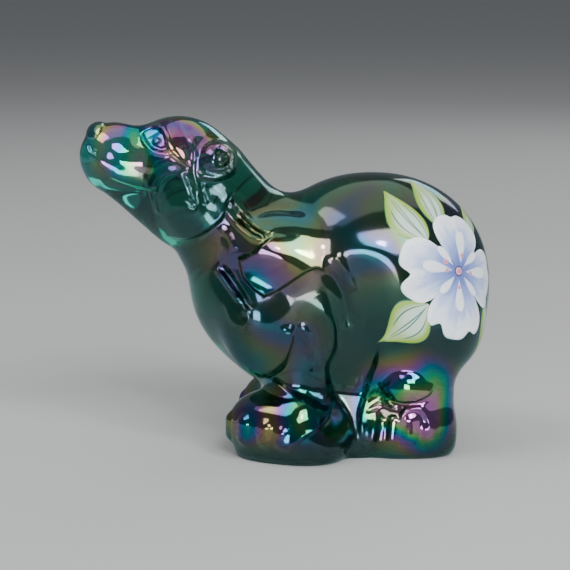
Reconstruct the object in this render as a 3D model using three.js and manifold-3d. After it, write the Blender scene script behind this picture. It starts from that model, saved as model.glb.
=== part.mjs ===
// Polar bear figurine of pressed glass: one solid, with its feet joined down to a flat ground face.
// Millimetres, +Z up. The nose points to -X, the painted flank is -Y, the feet stand on z = 0.
// The form is clay-like: named masses blend into each other, and named strokes carve the fur and the face.
// A side coordinate s = |y| makes both flanks alike, apart from the far foreleg, which stands a little back.
import * as THREE from 'three';
import Module from 'manifold-3d';

// Skin: spacing of the sampling grid, how many triangles the finished solid keeps, and the space sampled.
// Blocks of samples whose middle is farther than farFromSkin from the skin are not looked at one by one.
const gridStep = 0.85;
const blockSize = 4;
const farFromSkin = 4.5;
const triangleBudget = 9400;
const sampled = { from: [-59, -33, -2.2], to: [59, 33, 94] };
const settleRounds = 2;
const settleProbe = 0.02;
const settleLimit = 0.3;

// Ground: the masses run on below the feet and are cut flat at z = 0, with a slightly rounded rim.
const groundDepth = 0.6;
const groundRounding = 2.2;

// Trunk, neck and head. An ellipsoid has centre and radii; boxy over 2 makes it squarer.
const rump = { centre: [23.8, 0, 44.2], radii: [32.2, 25.5, 30.8], boxy: 2.15 };
const barrel = { centre: [4.5, 0, 38.0], radii: [24.4, 21.5, 22.9] };
const neck = { from: [-3.8, 0, 44.9], to: [-23.2, 0, 71.4], radiusFrom: 18.4, radiusTo: 14.9 };
const skull = { centre: [-28.3, 0, 77.2], radii: [14.9, 12.5, 13.35], pitch: 10 };
const muzzle = { from: [-36.5, 0, 77.4], to: [-46.3, 0, 79.8], radiusFrom: 6.3, radiusTo: 9.2, flat: 0.95 };
const jowl = { centre: [-41.0, 5.5, 77.1], radii: [6.5, 3.4, 5.0], pitch: -14 };
const jaw = { from: [-46.5, 0, 77.0], to: [-28.1, 0, 64.8], radiusFrom: 7.2, radiusTo: 9.5, flat: 0.85 };
const ruff = { centre: [-25.5, 0, 67.7], radii: [10.9, 16.2, 12.4] };
const noseTip = { centre: [-50.5, 0, 86.1], radii: [3.0, 4.4, 2.9], pitch: 20 };
const eyeBall = { centre: [-34.65, 8.3, 84.55], radii: [2.0, 1.9, 1.8] };
const ear = { centre: [-19.1, 9.5, 79.2], radii: [5.4, 6.0, 5.2], yaw: -25 };

// Chest, shoulder and forelegs. The far foreleg stands back by farStep.
const breast = { centre: [-9.1, 0, 42.9], radii: [16.5, 20.5, 18.6], pitch: -14 };
const upperArm = { centre: [-7.5, 15.0, 36.4], radii: [10.3, 9.5, 15.0], pitch: -8 };
const foreleg = { from: [3.5, 11.5, 30], to: [3.3, 13, 8], radiusFrom: 9.3, radiusTo: 9.3 };
const forePaw = { centre: [1.1, 15.0, 8.0], radii: [17.2, 13.5, 10.5], yaw: 28, boxy: 2.4 };
const foreSole = { centre: [1.1, 15.0, 2.0], radii: [15.4, 12.0, 5.0], yaw: 28, boxy: 2.4 };
const shoulder = { centre: [-0.2, 15.0, 54.4], radii: [16, 8.0, 11.0], pitch: 12 };
const farStep = 4.5;
const farStepSpread = 8;

// Hind legs, the glass that joins the legs, and the hollow flank between shoulder and thigh.
const thigh = { centre: [37.1, 9.5, 36.0], radii: [16.3, 16.0, 17.0] };
const shin = { from: [34.4, 11, 20.0], to: [34.5, 11, 8.0], radiusFrom: 11.0, radiusTo: 10.8 };
const ankleCuff = { centre: [31.6, 15.0, 20.1], radii: [7.4, 8.8, 5.6] };
const hindPaw = { centre: [32.8, 10.5, 6.0], radii: [13.3, 12.0, 10.0], boxy: 2.8 };
const web = { centre: [16, 0, 12], radii: [22, 15.5, 22], boxy: 3 };
const skirt = { centre: [16, 0, 3], radii: [20, 20, 20], boxy: 2.4 };
const waist = { from: [17.1, 33.5, 47.5], to: [16.9, 29.5, 16.1], radiusFrom: 9.5, radiusTo: 10 };

// Toes: short upright rolls round each paw. The angle runs from the paw's outer side towards its front.
const foreToes = [
  { angle: 66, radius: 2.8, top: 12.4, low: 3.6, proud: 0.9 },
  { angle: 38, radius: 3.0, top: 13.0, low: 3.8, proud: 0.9 },
  { angle: 9, radius: 2.9, top: 12.6, low: 4.0, proud: 0.9 },
  { angle: -14, radius: 2.6, top: 11.4, low: 4.0, proud: 0.9 },
];
const hindToes = [
  { angle: 54, radius: 1.7, top: 12.0, low: 3.8, proud: 0.9 },
  { angle: 40, radius: 1.8, top: 12.2, low: 3.6, proud: 0.9 },
  { angle: 26, radius: 2.0, top: 12.4, low: 3.6, proud: 0.9 },
  { angle: 3, radius: 3.0, top: 13.4, low: 3.8, proud: 1.0 },
  { angle: -23, radius: 2.6, top: 10.6, low: 3.4, proud: 0.9 },
];

// Lines in the side view, as x and z: a positive height stands up as a ridge, a negative one is a groove.
// A line with a fade is a step instead: it rises on the line's left and sinks back over the fade.
// Lines on the foreleg step back with the far foreleg.
const faceLines = [
  { name: 'ear edge', width: 1.1, height: 0.6,
    path: [[-19.6, 84.1], [-17.0, 83.8], [-14.6, 82.0], [-14.0, 79.4], [-14.9, 77.2], [-16.8, 75.9]] },
  { name: 'ear lip', width: 1.1, height: 0.8,
    path: [[-13.9, 79.6], [-14.6, 77.3], [-16.6, 75.8], [-19.2, 75.3], [-22.0, 75.8], [-24.0, 77.0]] },
  { name: 'upper lip', width: 1.2, height: 0.9, fade: 5,
    path: [[-52.9, 80.5], [-50.8, 79.2], [-49.0, 77.2], [-46.9, 75.0], [-44.2, 73.7], [-40.1, 72.3],
      [-36.1, 71.5], [-34.4, 70.5]] },
  { name: 'jaw line', width: 1.1, height: 0.4, path: [[-36.0, 71.6], [-35.2, 68.3], [-34.5, 65.2]] },
  { name: 'nose pad', width: 1.1, height: 0.5, fade: 3,
    path: [[-53.6, 85.1], [-51.2, 85.2], [-49.6, 86.8], [-49.0, 89.5]] },
  { name: 'nostril', width: 1.1, height: -0.7, path: [[-52.5, 83.7], [-51.8, 82.0], [-50.1, 81.5]] },
  { name: 'upper lid', width: 1.1, height: 0.5,
    path: [[-39.3, 86.3], [-37.7, 87.7], [-35.5, 88.4], [-33.4, 88.1], [-32.1, 86.5], [-30.8, 82.0]] },
  { name: 'lower lid', width: 1.1, height: 0.45,
    path: [[-39.0, 86.0], [-37.7, 83.9], [-35.9, 82.0], [-33.5, 81.3], [-30.8, 81.7]] },
  { name: 'brow', width: 1.1, height: 0.8, fade: 4,
    path: [[-32.9, 89.0], [-31.6, 87.1], [-30.0, 83.4], [-27.7, 79.9], [-25.6, 77.9]] },
  { name: 'eye fold', width: 1.1, height: 0.4, path: [[-31.4, 81.8], [-28.7, 79.8], [-25.6, 78.0]] },
  { name: 'face edge', width: 1.1, height: 0.65,
    path: [[-26.0, 86.4], [-25.0, 83.5], [-24.5, 81.3], [-25.0, 77.6], [-24.3, 74.4], [-22.4, 70.4]] },
  { name: 'cheek arch', width: 1.1, height: 0.8, fade: 3,
    path: [[-34.7, 70.0], [-34.4, 72.6], [-33.3, 75.0], [-31.7, 76.1], [-29.8, 76.5], [-28.2, 75.5],
      [-26.9, 72.6]] },
  { name: 'front cheek lock', width: 1.1, height: -0.6,
    path: [[-27.4, 76.8], [-25.9, 73.3], [-24.3, 67.7]] },
  { name: 'back cheek lock', width: 1.1, height: -0.5, path: [[-23.2, 74.9], [-22.7, 71.7], [-21.6, 68.2]] },
  { name: 'cheek lock tip', width: 1.1, height: 0.45,
    path: [[-26.9, 70.8], [-24.6, 68.4], [-25.1, 67.1], [-28.0, 68.2]] },
];
const furLines = [
  { name: 'ruff edge', width: 1.6, height: 1.2, fade: 7,
    path: [[-32.6, 58.6], [-27.3, 58.6], [-23.3, 60.2], [-19.8, 62.6], [-17.2, 65.2], [-16.1, 69.2],
      [-13.7, 73.2]] },
  { name: 'upper neck lock', width: 1.3, height: 0.8,
    path: [[-15.3, 70.6], [-12.9, 67.1], [-9.5, 63.8], [-6.5, 61.9], [-3.9, 62.2]] },
  { name: 'lower neck lock', width: 1.2, height: 0.7,
    path: [[-16.6, 67.6], [-15.1, 64.9], [-12.7, 62.2], [-9.5, 60.1], [-6.8, 60.1]] },
  { name: 'neck groove', width: 1.1, height: -0.4,
    path: [[-14.8, 67.6], [-12.1, 64.4], [-8.9, 61.7], [-6.3, 60.9]] },
  { name: 'throat lock', width: 1.1, height: 0.4, path: [[-18.5, 62.6], [-15.6, 59.9], [-14.0, 56.4]] },
  { name: 'chest lock', width: 1.5, height: -0.8,
    path: [[-18.3, 52.5], [-14.9, 48.7], [-11.7, 44.1], [-10.1, 41.4]] },
  { name: 'chest lock edge', width: 1.1, height: 0.4, path: [[-19.4, 51.7], [-16.5, 47.6], [-12.8, 43.0]] },
  { name: 'chest tuft front', width: 1.1, height: 0.5,
    path: [[-17.0, 43.6], [-15.7, 39.2], [-13.1, 36.5]] },
  { name: 'chest tuft back', width: 1.1, height: 0.5, path: [[-12.0, 42.5], [-10.9, 39.2], [-12.8, 36.2]] },
  { name: 'flank groove', width: 1.3, height: -0.8,
    path: [[9.4, 52.1], [12.6, 47.8], [14.7, 43.5], [15.5, 35.5]] },
  { name: 'flank ridge', width: 1.2, height: 0.4, path: [[11.5, 56.4], [14.9, 51.0], [17.3, 45.7]] },
];
const forelegLines = [
  { name: 'upper arm edge', width: 1.3, height: 0.9, fade: 5,
    path: [[-8.2, 21.1], [-5.6, 22.6], [-1.9, 25.1], [0.0, 29.1], [1.1, 34.2], [0.8, 37.7]] },
  { name: 'foreleg ridge', width: 1.3, height: 0.6,
    path: [[2.1, 37.4], [5.1, 33.6], [6.4, 28.2], [5.6, 23.9]] },
  { name: 'foreleg back edge', width: 1.6, height: 1.1, fade: 5,
    path: [[12.3, 14.6], [11.2, 17.3], [10.1, 25.7], [12.0, 30.1], [12.0, 36.0], [10.6, 40.3],
      [8.8, 46.0]] },
  { name: 'paw top edge', width: 1.3, height: 0.9, fade: 5,
    path: [[11.3, 14.4], [9.2, 14.8], [2.8, 18.0], [-1.2, 20.2], [-5.4, 22.7]] },
  { name: 'paw rim', width: 1.3, height: 0.9, fade: 4,
    path: [[-1.6, 3.4], [1.1, 6.3], [4.3, 9.0], [9.4, 11.4], [11.3, 14.2], [11.9, 17.8]] },
];
const hindLegLines = [
  { name: 'ankle roll', width: 1.2, height: 1.0, fade: 5,
    path: [[23.7, 20.6], [26.1, 17.6], [29.4, 15.9], [33.6, 16.2], [37.6, 18.0], [38.7, 20.8]] },
  { name: 'ankle hollow', width: 1.1, height: -0.4,
    path: [[26.4, 16.5], [29.6, 15.0], [33.9, 15.2], [37.6, 16.7]] },
  { name: 'toe arch', width: 1.1, height: 0.6,
    path: [[29.0, 8.8], [30.4, 12.7], [32.9, 14.1], [35.3, 13.7], [36.9, 11.5], [38.0, 8.2]] },
  { name: 'hind leg front edge', width: 1.4, height: 0.9, fade: 5,
    path: [[24.6, 37.6], [23.8, 31.4], [22.8, 25.5], [21.5, 21.1], [20.4, 15.9], [19.1, 12.3], [18.9, 8.5],
      [18.9, 2.7]] },
];
const lineParts = 3;
const lineReach = 3;
const lineEnds = { rise: 5, least: 0.05 };
const reliefStart = 3;
const reliefBand = 2.5;

// Patches in the side view: the shoulder blade stands up with crisp lower and front edges and fades out up
// the back; the eye and the inside of the ear lie low.
const shoulderPatch = {
  outline: [[-13.9, 54.6], [-9.8, 57.0], [-7.0, 59.4], [-4.4, 61.5], [3.0, 61.2], [9.9, 56.3], [9.4, 51.0],
    [7.0, 51.8], [4.6, 51.0], [0.4, 48.1], [-3.1, 45.7], [-6.8, 44.4], [-9.8, 46.3], [-12.6, 49.3]],
  edge: 1.1, height: 1.5, start: 8, fadeFrom: [-2.0, 54.3], fadeAlong: [0.5, 0.86], fadeSpan: 8,
};
const eyePatch = {
  outline: [[-38.7, 86.4], [-37.4, 87.4], [-35.5, 88.0], [-33.7, 87.8], [-32.4, 86.2], [-31.1, 82.1],
    [-33.5, 81.7], [-35.9, 82.4], [-37.4, 84.1]],
  edge: 1.0, height: -0.8, start: 3,
};
const earPatch = {
  outline: [[-19.5, 83.4], [-17.4, 83.0], [-15.8, 81.9], [-15.0, 80.3], [-15.2, 78.6], [-16.6, 77.7],
    [-19.5, 77.5]],
  edge: 1.3, height: -1.9, start: 3,
};

const radians = THREE.MathUtils.degToRad;
const clamp = THREE.MathUtils.clamp;
const ease = (t) => {
  const u = clamp(t, 0, 1);
  return u * u * (3 - 2 * u);
};
const long = (x, y, z) => Math.sqrt(x * x + y * y + z * z);

// Blends two masses: the smaller distance, filled in over a seam that is blend wide.
function join(a, b, blend) {
  const h = Math.max(blend - Math.abs(a - b), 0) / blend;
  return Math.min(a, b) - (h * h * blend) / 4;
}

// Keeps what is in both, with the edge rounded over blend.
function meet(a, b, blend) {
  return -join(-a, -b, blend);
}

// Signed distance, about right near the skin, to an ellipsoid turned by yaw about Z and pitch about Y.
function ellipsoid({ centre, radii, yaw = 0, pitch = 0, boxy = 2 }) {
  const [cy, sy] = [Math.cos(radians(yaw)), Math.sin(radians(yaw))];
  const [cp, sp] = [Math.cos(radians(pitch)), Math.sin(radians(pitch))];
  const [rx, ry, rz] = radii;
  const power = boxy === 2 ? (u, n) => (n === 2 ? u * u : u) : Math.pow;
  return (x, y, z) => {
    const dx = x - centre[0];
    const dy = y - centre[1];
    const dz = z - centre[2];
    const along = cy * dx + sy * dy;
    const ux = Math.abs(cp * along - sp * dz) / rx;
    const uy = Math.abs(cy * dy - sy * dx) / ry;
    const uz = Math.abs(sp * along + cp * dz) / rz;
    const sum = power(ux, boxy) + power(uy, boxy) + power(uz, boxy) + 1e-12;
    const slope = long(power(ux, boxy - 1) / rx, power(uy, boxy - 1) / ry, power(uz, boxy - 1) / rz);
    const size = sum ** (1 / boxy);
    return ((size - 1) * sum) / (slope * size + 1e-9);
  };
}

// Signed distance to a round bar that tapers from one end to the other; flat narrows it sideways.
function limb({ from, to, radiusFrom, radiusTo, flat = 1 }) {
  const [dx, dy, dz] = to.map((v, i) => v - from[i]);
  const lengthSquared = dx * dx + dy * dy + dz * dz;
  return (x, y, z) => {
    const qx = x - from[0];
    const qy = y - from[1];
    const qz = z - from[2];
    const t = clamp((qx * dx + qy * dy + qz * dz) / lengthSquared, 0, 1);
    const radius = radiusFrom + (radiusTo - radiusFrom) * ease(t);
    return long(qx - t * dx, (qy - t * dy) / flat, qz - t * dz) - radius;
  };
}

// A point on a paw's skin at an angle round it and a height, moved inwards by inset.
function onPaw({ centre, radii, yaw = 0, boxy }, angle, height, inset) {
  const [ux, uy] = [-Math.sin(radians(angle)), Math.cos(radians(angle))];
  const level = (1 - (Math.abs(height - centre[2]) / radii[2]) ** boxy) ** (1 / boxy);
  const spread = ((Math.abs(ux) / radii[0]) ** boxy + (Math.abs(uy) / radii[1]) ** boxy) ** (1 / boxy);
  const reach = level / spread - inset;
  const [c, s] = [Math.cos(radians(yaw)), Math.sin(radians(yaw))];
  return [centre[0] + (c * ux - s * uy) * reach, centre[1] + (s * ux + c * uy) * reach, height];
}

function toesOn(paw, toes) {
  return toes.map(({ angle, radius, top, low, proud }) => limb({
    from: onPaw(paw, angle, top - radius, radius - proud),
    to: onPaw(paw, angle, low + radius, radius - proud),
    radiusFrom: radius,
    radiusTo: radius,
  }));
}

// Distance from a point to a segment in the side view, how far along the segment its foot is, and its side.
function toSegment(x, z, [ax, az], [bx, bz]) {
  const [dx, dz] = [bx - ax, bz - az];
  const t = clamp(((x - ax) * dx + (z - az) * dz) / (dx * dx + dz * dz), 0, 1);
  return [long(x - ax - t * dx, z - az - t * dz, 0), t, dx * (z - az) - dz * (x - ax) < 0 ? -1 : 1];
}

// A line's height over a point of the side view; it thins out at both ends.
function relief({ path, width, height, fade = 0 }) {
  const curve = new THREE.SplineCurve(path.map(([x, z]) => new THREE.Vector2(x, z)));
  const points = curve.getPoints((path.length - 1) * lineParts).map((p) => [p.x, p.y]);
  const reach = fade || lineReach * width;
  const [xs, zs] = [points.map((p) => p[0]), points.map((p) => p[1])];
  const [left, right, low, high] = [Math.min(...xs), Math.max(...xs), Math.min(...zs), Math.max(...zs)];
  return (x, z) => {
    if (x < left - reach || x > right + reach || z < low - reach || z > high + reach) return 0;
    let [nearest, along, side] = [Infinity, 0, 1];
    for (let i = 0; i + 1 < points.length; i += 1) {
      const [distance, t, hand] = toSegment(x, z, points[i], points[i + 1]);
      if (distance < nearest) [nearest, along, side] = [distance, (i + t) / (points.length - 1), hand];
    }
    const ends = ease(lineEnds.rise * Math.min(along, 1 - along) + lineEnds.least);
    const signed = nearest * side;
    if (fade) return height * ends * ease(signed / width + 0.5) * ease(1 - signed / fade);
    return height * ends * Math.exp(-((nearest / width) ** 2));
  };
}

// A patch's height over a point of the side view.
function patchHeight({ outline, edge, height, fadeFrom, fadeAlong, fadeSpan }, x, z) {
  let [nearest, inside] = [Infinity, false];
  outline.forEach((a, i) => {
    const b = outline[(i + 1) % outline.length];
    nearest = Math.min(nearest, toSegment(x, z, a, b)[0]);
    const [low, high] = a[1] < b[1] ? [a, b] : [b, a];
    const crosses = low[1] <= z && z < high[1];
    if (crosses && x < ((high[0] - low[0]) * (z - low[1])) / (high[1] - low[1]) + low[0]) inside = !inside;
  });
  if (!inside) return 0;
  if (!fadeSpan) return height * ease(nearest / edge);
  const away = ((x - fadeFrom[0]) * fadeAlong[0] + (z - fadeFrom[1]) * fadeAlong[1]) / fadeSpan;
  return height * ease(nearest / edge) * ease(1 - away);
}

const masses = {
  rump: ellipsoid(rump),
  barrel: ellipsoid(barrel),
  neck: limb(neck),
  skull: ellipsoid(skull),
  muzzle: limb(muzzle),
  jowl: ellipsoid(jowl),
  jaw: limb(jaw),
  ruff: ellipsoid(ruff),
  noseTip: ellipsoid(noseTip),
  eyeBall: ellipsoid(eyeBall),
  ear: ellipsoid(ear),
  breast: ellipsoid(breast),
  upperArm: ellipsoid(upperArm),
  foreleg: limb(foreleg),
  forePaw: ellipsoid(forePaw),
  foreSole: ellipsoid(foreSole),
  shoulder: ellipsoid(shoulder),
  thigh: ellipsoid(thigh),
  shin: limb(shin),
  ankleCuff: ellipsoid(ankleCuff),
  hindPaw: ellipsoid(hindPaw),
  web: ellipsoid(web),
  skirt: ellipsoid(skirt),
  waist: limb(waist),
};
const foreToeRolls = toesOn(forePaw, foreToes);
const hindToeRolls = toesOn(hindPaw, hindToes);
const bodyReliefs = [...faceLines, ...furLines, ...hindLegLines].map(relief);
const forelegReliefs = forelegLines.map(relief);
const patches = [shoulderPatch, eyePatch, earPatch];

function head(x, y, s, z) {
  let form = join(masses.skull(x, y, z), masses.muzzle(x, y, z), 6);
  form = join(form, masses.jowl(x, s, z), 3);
  form = join(form, masses.jaw(x, y, z), 1.5);
  form = join(form, masses.ruff(x, y, z), 4);
  form = join(form, masses.noseTip(x, y, z), 1.2);
  form = join(form, masses.eyeBall(x, s, z), 0.3);
  return join(form, masses.ear(x, s, z), 1.6);
}

// How far back the foreleg stands on each side.
function stepBack(y) {
  return farStep * ease(y / farStepSpread + 0.5);
}

function forequarters(x, y, s, z) {
  const back = stepBack(y);
  const foot = masses.forePaw(x - back, s, z);
  let paw = foot;
  foreToeRolls.forEach((roll) => { paw = join(paw, roll(x - back, s, z), 0.6); });
  let leg = Math.min(join(masses.foreleg(x - back, s, z), foot, 3), paw);
  leg = join(leg, masses.foreSole(x - back, s, z), 1);
  return join(leg, join(masses.breast(x, y, z), masses.upperArm(x, s, z), 4), 1);
}

function hindquarters(x, s, z) {
  let paw = masses.hindPaw(x, s, z);
  hindToeRolls.forEach((roll) => { paw = join(paw, roll(x, s, z), 0.6); });
  let leg = join(masses.thigh(x, s, z), masses.shin(x, s, z), 4);
  leg = join(leg, masses.ankleCuff(x, s, z), 1.2);
  return join(leg, paw, 1.5);
}

// Below zero inside the bear, above zero outside.
function bear(x, y, z) {
  const s = Math.sqrt(y * y + 0.04);
  const trunk = join(join(masses.rump(x, y, z), masses.barrel(x, y, z), 8), masses.neck(x, y, z), 8);
  let legs = join(forequarters(x, y, s, z), hindquarters(x, s, z), 2);
  legs = join(join(legs, masses.web(x, y, z), 3), masses.skirt(x, y, z), 2);
  let form = join(trunk, legs, 3);
  form = meet(form, -masses.waist(x, s, z), 7);
  form = join(form, masses.shoulder(x, s, z), 3);
  form = join(form, head(x, y, s, z), 1.5);
  if (Math.abs(form) < reliefBand) {
    const side = clamp((s - reliefStart) / 3, 0, 1);
    const back = stepBack(y);
    bodyReliefs.forEach((height) => { form -= side * height(x, z); });
    forelegReliefs.forEach((height) => { form -= side * height(x - back, z); });
    patches.forEach((patch) => { form -= patchHeight(patch, x, z) * clamp((s - patch.start) / 3, 0, 1); });
  }
  return meet(form, -(z + groundDepth), groundRounding);
}

// Samples the form on a grid and draws its skin through six tetrahedra in each cell, so it is always closed.
function skin() {
  const count = sampled.from.map((low, i) => Math.ceil((sampled.to[i] - low) / gridStep) + 1);
  const place = (i, j, k) => [i, j, k].map((n, axis) => sampled.from[axis] + n * gridStep);
  const at = (i, j, k) => i + count[0] * (j + count[1] * k);
  const value = new Float64Array(count[0] * count[1] * count[2]);
  const blocks = (axis) => [...Array(Math.ceil(count[axis] / blockSize)).keys()].map((n) => n * blockSize);
  for (const k0 of blocks(2)) {
    for (const j0 of blocks(1)) {
      for (const i0 of blocks(0)) {
        const half = (blockSize - 1) / 2;
        const whole = bear(...place(i0 + half, j0 + half, k0 + half));
        for (let k = k0; k < Math.min(k0 + blockSize, count[2]); k += 1) {
          for (let j = j0; j < Math.min(j0 + blockSize, count[1]); j += 1) {
            for (let i = i0; i < Math.min(i0 + blockSize, count[0]); i += 1) {
              const close = Math.abs(whole) <= farFromSkin;
              value[at(i, j, k)] = close ? bear(...place(i, j, k)) || 1e-9 : whole;
            }
          }
        }
      }
    }
  }
  const axes = [[1, 0, 0], [0, 1, 0], [0, 0, 1]];
  const orders = [[0, 1, 2], [0, 2, 1], [1, 0, 2], [1, 2, 0], [2, 0, 1], [2, 1, 0]];
  const points = [];
  const triangles = [];
  const known = new Map();
  const crossing = (a, b) => {
    const [p, q] = a.id < b.id ? [a, b] : [b, a];
    const key = p.id * value.length + q.id;
    if (!known.has(key)) {
      const t = clamp(p.value / (p.value - q.value), 0.06, 0.94);
      known.set(key, points.length);
      points.push(p.place.map((v, i) => v + (q.place[i] - v) * t));
    }
    return known.get(key);
  };
  const add = (a, b, c, outwards) => {
    const [p, q, r] = [a, b, c].map((n) => new THREE.Vector3(...points[n]));
    const normal = q.sub(p).cross(r.sub(p));
    triangles.push(normal.dot(outwards) > 0 ? [a, b, c] : [a, c, b]);
  };
  const middle = (list) => {
    const sum = new THREE.Vector3();
    list.forEach((c) => sum.add(new THREE.Vector3(...c.place)));
    return sum.divideScalar(list.length);
  };
  for (let k = 0; k + 1 < count[2]; k += 1) {
    for (let j = 0; j + 1 < count[1]; j += 1) {
      for (let i = 0; i + 1 < count[0]; i += 1) {
        const corner = (x, y, z) => {
          const id = at(i + x, j + y, k + z);
          return { id, value: value[id], place: place(i + x, j + y, k + z) };
        };
        const first = value[at(i, j, k)] < 0;
        let mixed = false;
        for (let n = 1; n < 8; n += 1) {
          mixed ||= (value[at(i + (n & 1), j + ((n >> 1) & 1), k + (n >> 2))] < 0) !== first;
        }
        if (!mixed) continue;
        orders.forEach((order) => {
          const step = [0, 0, 0];
          const corners = [corner(0, 0, 0)];
          order.forEach((axis) => {
            axes[axis].forEach((v, n) => { step[n] += v; });
            corners.push(corner(...step));
          });
          const inner = corners.filter((c) => c.value < 0);
          const outer = corners.filter((c) => c.value >= 0);
          if (!inner.length || !outer.length) return;
          const outwards = middle(outer).sub(middle(inner));
          if (inner.length === 2) {
            const [a, b, c, d] = [crossing(inner[0], outer[0]), crossing(inner[0], outer[1]),
              crossing(inner[1], outer[1]), crossing(inner[1], outer[0])];
            add(a, b, c, outwards);
            add(a, c, d, outwards);
          } else {
            const [lone, rest] = inner.length === 1 ? [inner[0], outer] : [outer[0], inner];
            add(...rest.map((c) => crossing(lone, c)), outwards);
          }
        });
      }
    }
  }
  return { points: points.map(settle), triangles };
}

// Moves a point of the sampled skin on to the form itself, in a few short steps along the slope.
function settle(point) {
  const p = [...point];
  for (let round = 0; round < settleRounds; round += 1) {
    const here = bear(...p);
    const slope = [0, 1, 2].map((axis) => {
      const ahead = p.map((v, i) => v + (i === axis ? settleProbe : 0));
      return (bear(...ahead) - here) / settleProbe;
    });
    const steep = slope[0] ** 2 + slope[1] ** 2 + slope[2] ** 2 + 1e-6;
    const move = clamp(-here / steep, -settleLimit, settleLimit);
    slope.forEach((v, i) => { p[i] += v * move; });
  }
  return p;
}

// A plain binary heap of edges, cheapest first.
class EdgeHeap {
  items = [];

  push(item) {
    let i = this.items.push(item) - 1;
    while (i > 0) {
      const parent = (i - 1) >> 1;
      if (this.items[parent].cost <= item.cost) break;
      this.items[i] = this.items[parent];
      i = parent;
    }
    this.items[i] = item;
  }

  pop() {
    const top = this.items[0];
    const last = this.items.pop();
    if (this.items.length) {
      let i = 0;
      for (;;) {
        let child = 2 * i + 1;
        if (child >= this.items.length) break;
        if (child + 1 < this.items.length && this.items[child + 1].cost < this.items[child].cost) child += 1;
        if (this.items[child].cost >= last.cost) break;
        this.items[i] = this.items[child];
        i = child;
      }
      this.items[i] = last;
    }
    return top;
  }
}

// Thins the skin by closing the edges that change its shape least, until the budget of triangles is left.
function thin({ points, triangles }, budget) {
  const place = points.map((p) => new THREE.Vector3(...p));
  const faces = triangles.map((t) => [...t]);
  const facesOf = place.map(() => new Set());
  const error = place.map(() => new Float64Array(10));
  const stamp = new Uint32Array(place.length);
  const heap = new EdgeHeap();
  let left = faces.length;

  const faceNormal = (a, b, c) => {
    const first = new THREE.Vector3().subVectors(b, a);
    return first.cross(new THREE.Vector3().subVectors(c, a));
  };
  faces.forEach((face, f) => {
    face.forEach((v) => facesOf[v].add(f));
    const normal = faceNormal(...face.map((v) => place[v]));
    const area = normal.length() / 2;
    normal.normalize();
    const plane = [normal.x, normal.y, normal.z, -normal.dot(place[face[0]])];
    let n = 0;
    for (let i = 0; i < 4; i += 1) {
      for (let j = i; j < 4; j += 1, n += 1) {
        face.forEach((v) => { error[v][n] += area * plane[i] * plane[j]; });
      }
    }
  });

  const errorAt = (q, p) => q[0] * p.x * p.x + 2 * q[1] * p.x * p.y + 2 * q[2] * p.x * p.z + 2 * q[3] * p.x
    + q[4] * p.y * p.y + 2 * q[5] * p.y * p.z + 2 * q[6] * p.y + q[7] * p.z * p.z + 2 * q[8] * p.z + q[9];
  const bestPlace = (q, a, b) => {
    const middle = place[a].clone().add(place[b]).multiplyScalar(0.5);
    const system = new THREE.Matrix3().set(q[0], q[1], q[2], q[1], q[4], q[5], q[2], q[5], q[7]);
    const scale = q[0] + q[4] + q[7];
    if (Math.abs(system.determinant()) < 1e-4 * scale ** 3) return middle;
    const best = new THREE.Vector3(-q[3], -q[6], -q[8]).applyMatrix3(system.invert());
    return best.distanceTo(middle) < place[a].distanceTo(place[b]) ? best : middle;
  };
  const offer = (a, b) => {
    const q = error[a].map((v, i) => v + error[b][i]);
    const target = bestPlace(q, a, b);
    const cost = errorAt(q, target) + 1e-5 * place[a].distanceToSquared(place[b]);
    heap.push({ cost, a, b, target, stampA: stamp[a], stampB: stamp[b] });
  };
  const around = (v) => {
    const ring = new Set();
    facesOf[v].forEach((f) => faces[f].forEach((w) => ring.add(w)));
    ring.delete(v);
    return ring;
  };
  const turnsOver = (v, other, target) => [...facesOf[v]].some((f) => {
    const face = faces[f];
    if (face.includes(other)) return false;
    const before = faceNormal(...face.map((w) => place[w]));
    const after = faceNormal(...face.map((w) => (w === v ? target : place[w])));
    return before.dot(after) < 0.3 * before.length() * after.length() || after.length() < 1e-4;
  });

  faces.forEach(([a, b, c]) => {
    if (a < b) offer(a, b);
    if (b < c) offer(b, c);
    if (c < a) offer(c, a);
  });
  while (left > budget && heap.items.length) {
    const { a, b, target, stampA, stampB } = heap.pop();
    if (stamp[a] !== stampA || stamp[b] !== stampB || !facesOf[a].size || !facesOf[b].size) continue;
    const ringB = around(b);
    const shared = [...around(a)].filter((v) => ringB.has(v)).length;
    if (shared !== 2 || turnsOver(a, b, target) || turnsOver(b, a, target)) continue;
    place[a] = target;
    error[b].forEach((v, i) => { error[a][i] += v; });
    facesOf[b].forEach((f) => {
      if (faces[f].includes(a)) {
        faces[f].forEach((v) => { if (v !== b) facesOf[v].delete(f); });
        faces[f] = null;
        left -= 1;
      } else {
        faces[f] = faces[f].map((v) => (v === b ? a : v));
        facesOf[a].add(f);
      }
    });
    facesOf[b].clear();
    stamp[a] += 1;
    stamp[b] += 1;
    around(a).forEach((v) => offer(a, v));
  }

  const renumber = new Map();
  const kept = faces.filter(Boolean);
  kept.forEach((face) => face.forEach((v) => { if (!renumber.has(v)) renumber.set(v, renumber.size); }));
  return {
    points: [...renumber.keys()].map((v) => place[v].toArray()),
    triangles: kept.map((face) => face.map((v) => renumber.get(v))),
  };
}

// A closed box below the ground, to cut the feet flat.
function groundBlock(size, depth) {
  const corner = [0, 1, 2, 3, 4, 5, 6, 7].map((n) => [
    (n & 1 ? 1 : -1) * size, (n & 2 ? 1 : -1) * size, n & 4 ? 0 : -depth]);
  const triangles = [[0, 2, 1], [1, 2, 3], [4, 5, 6], [5, 7, 6], [0, 1, 4], [1, 5, 4], [2, 6, 3], [3, 6, 7],
    [0, 4, 2], [2, 4, 6], [1, 3, 5], [3, 7, 5]];
  return { points: corner, triangles };
}

const wasm = await Module();
wasm.setup();

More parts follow.
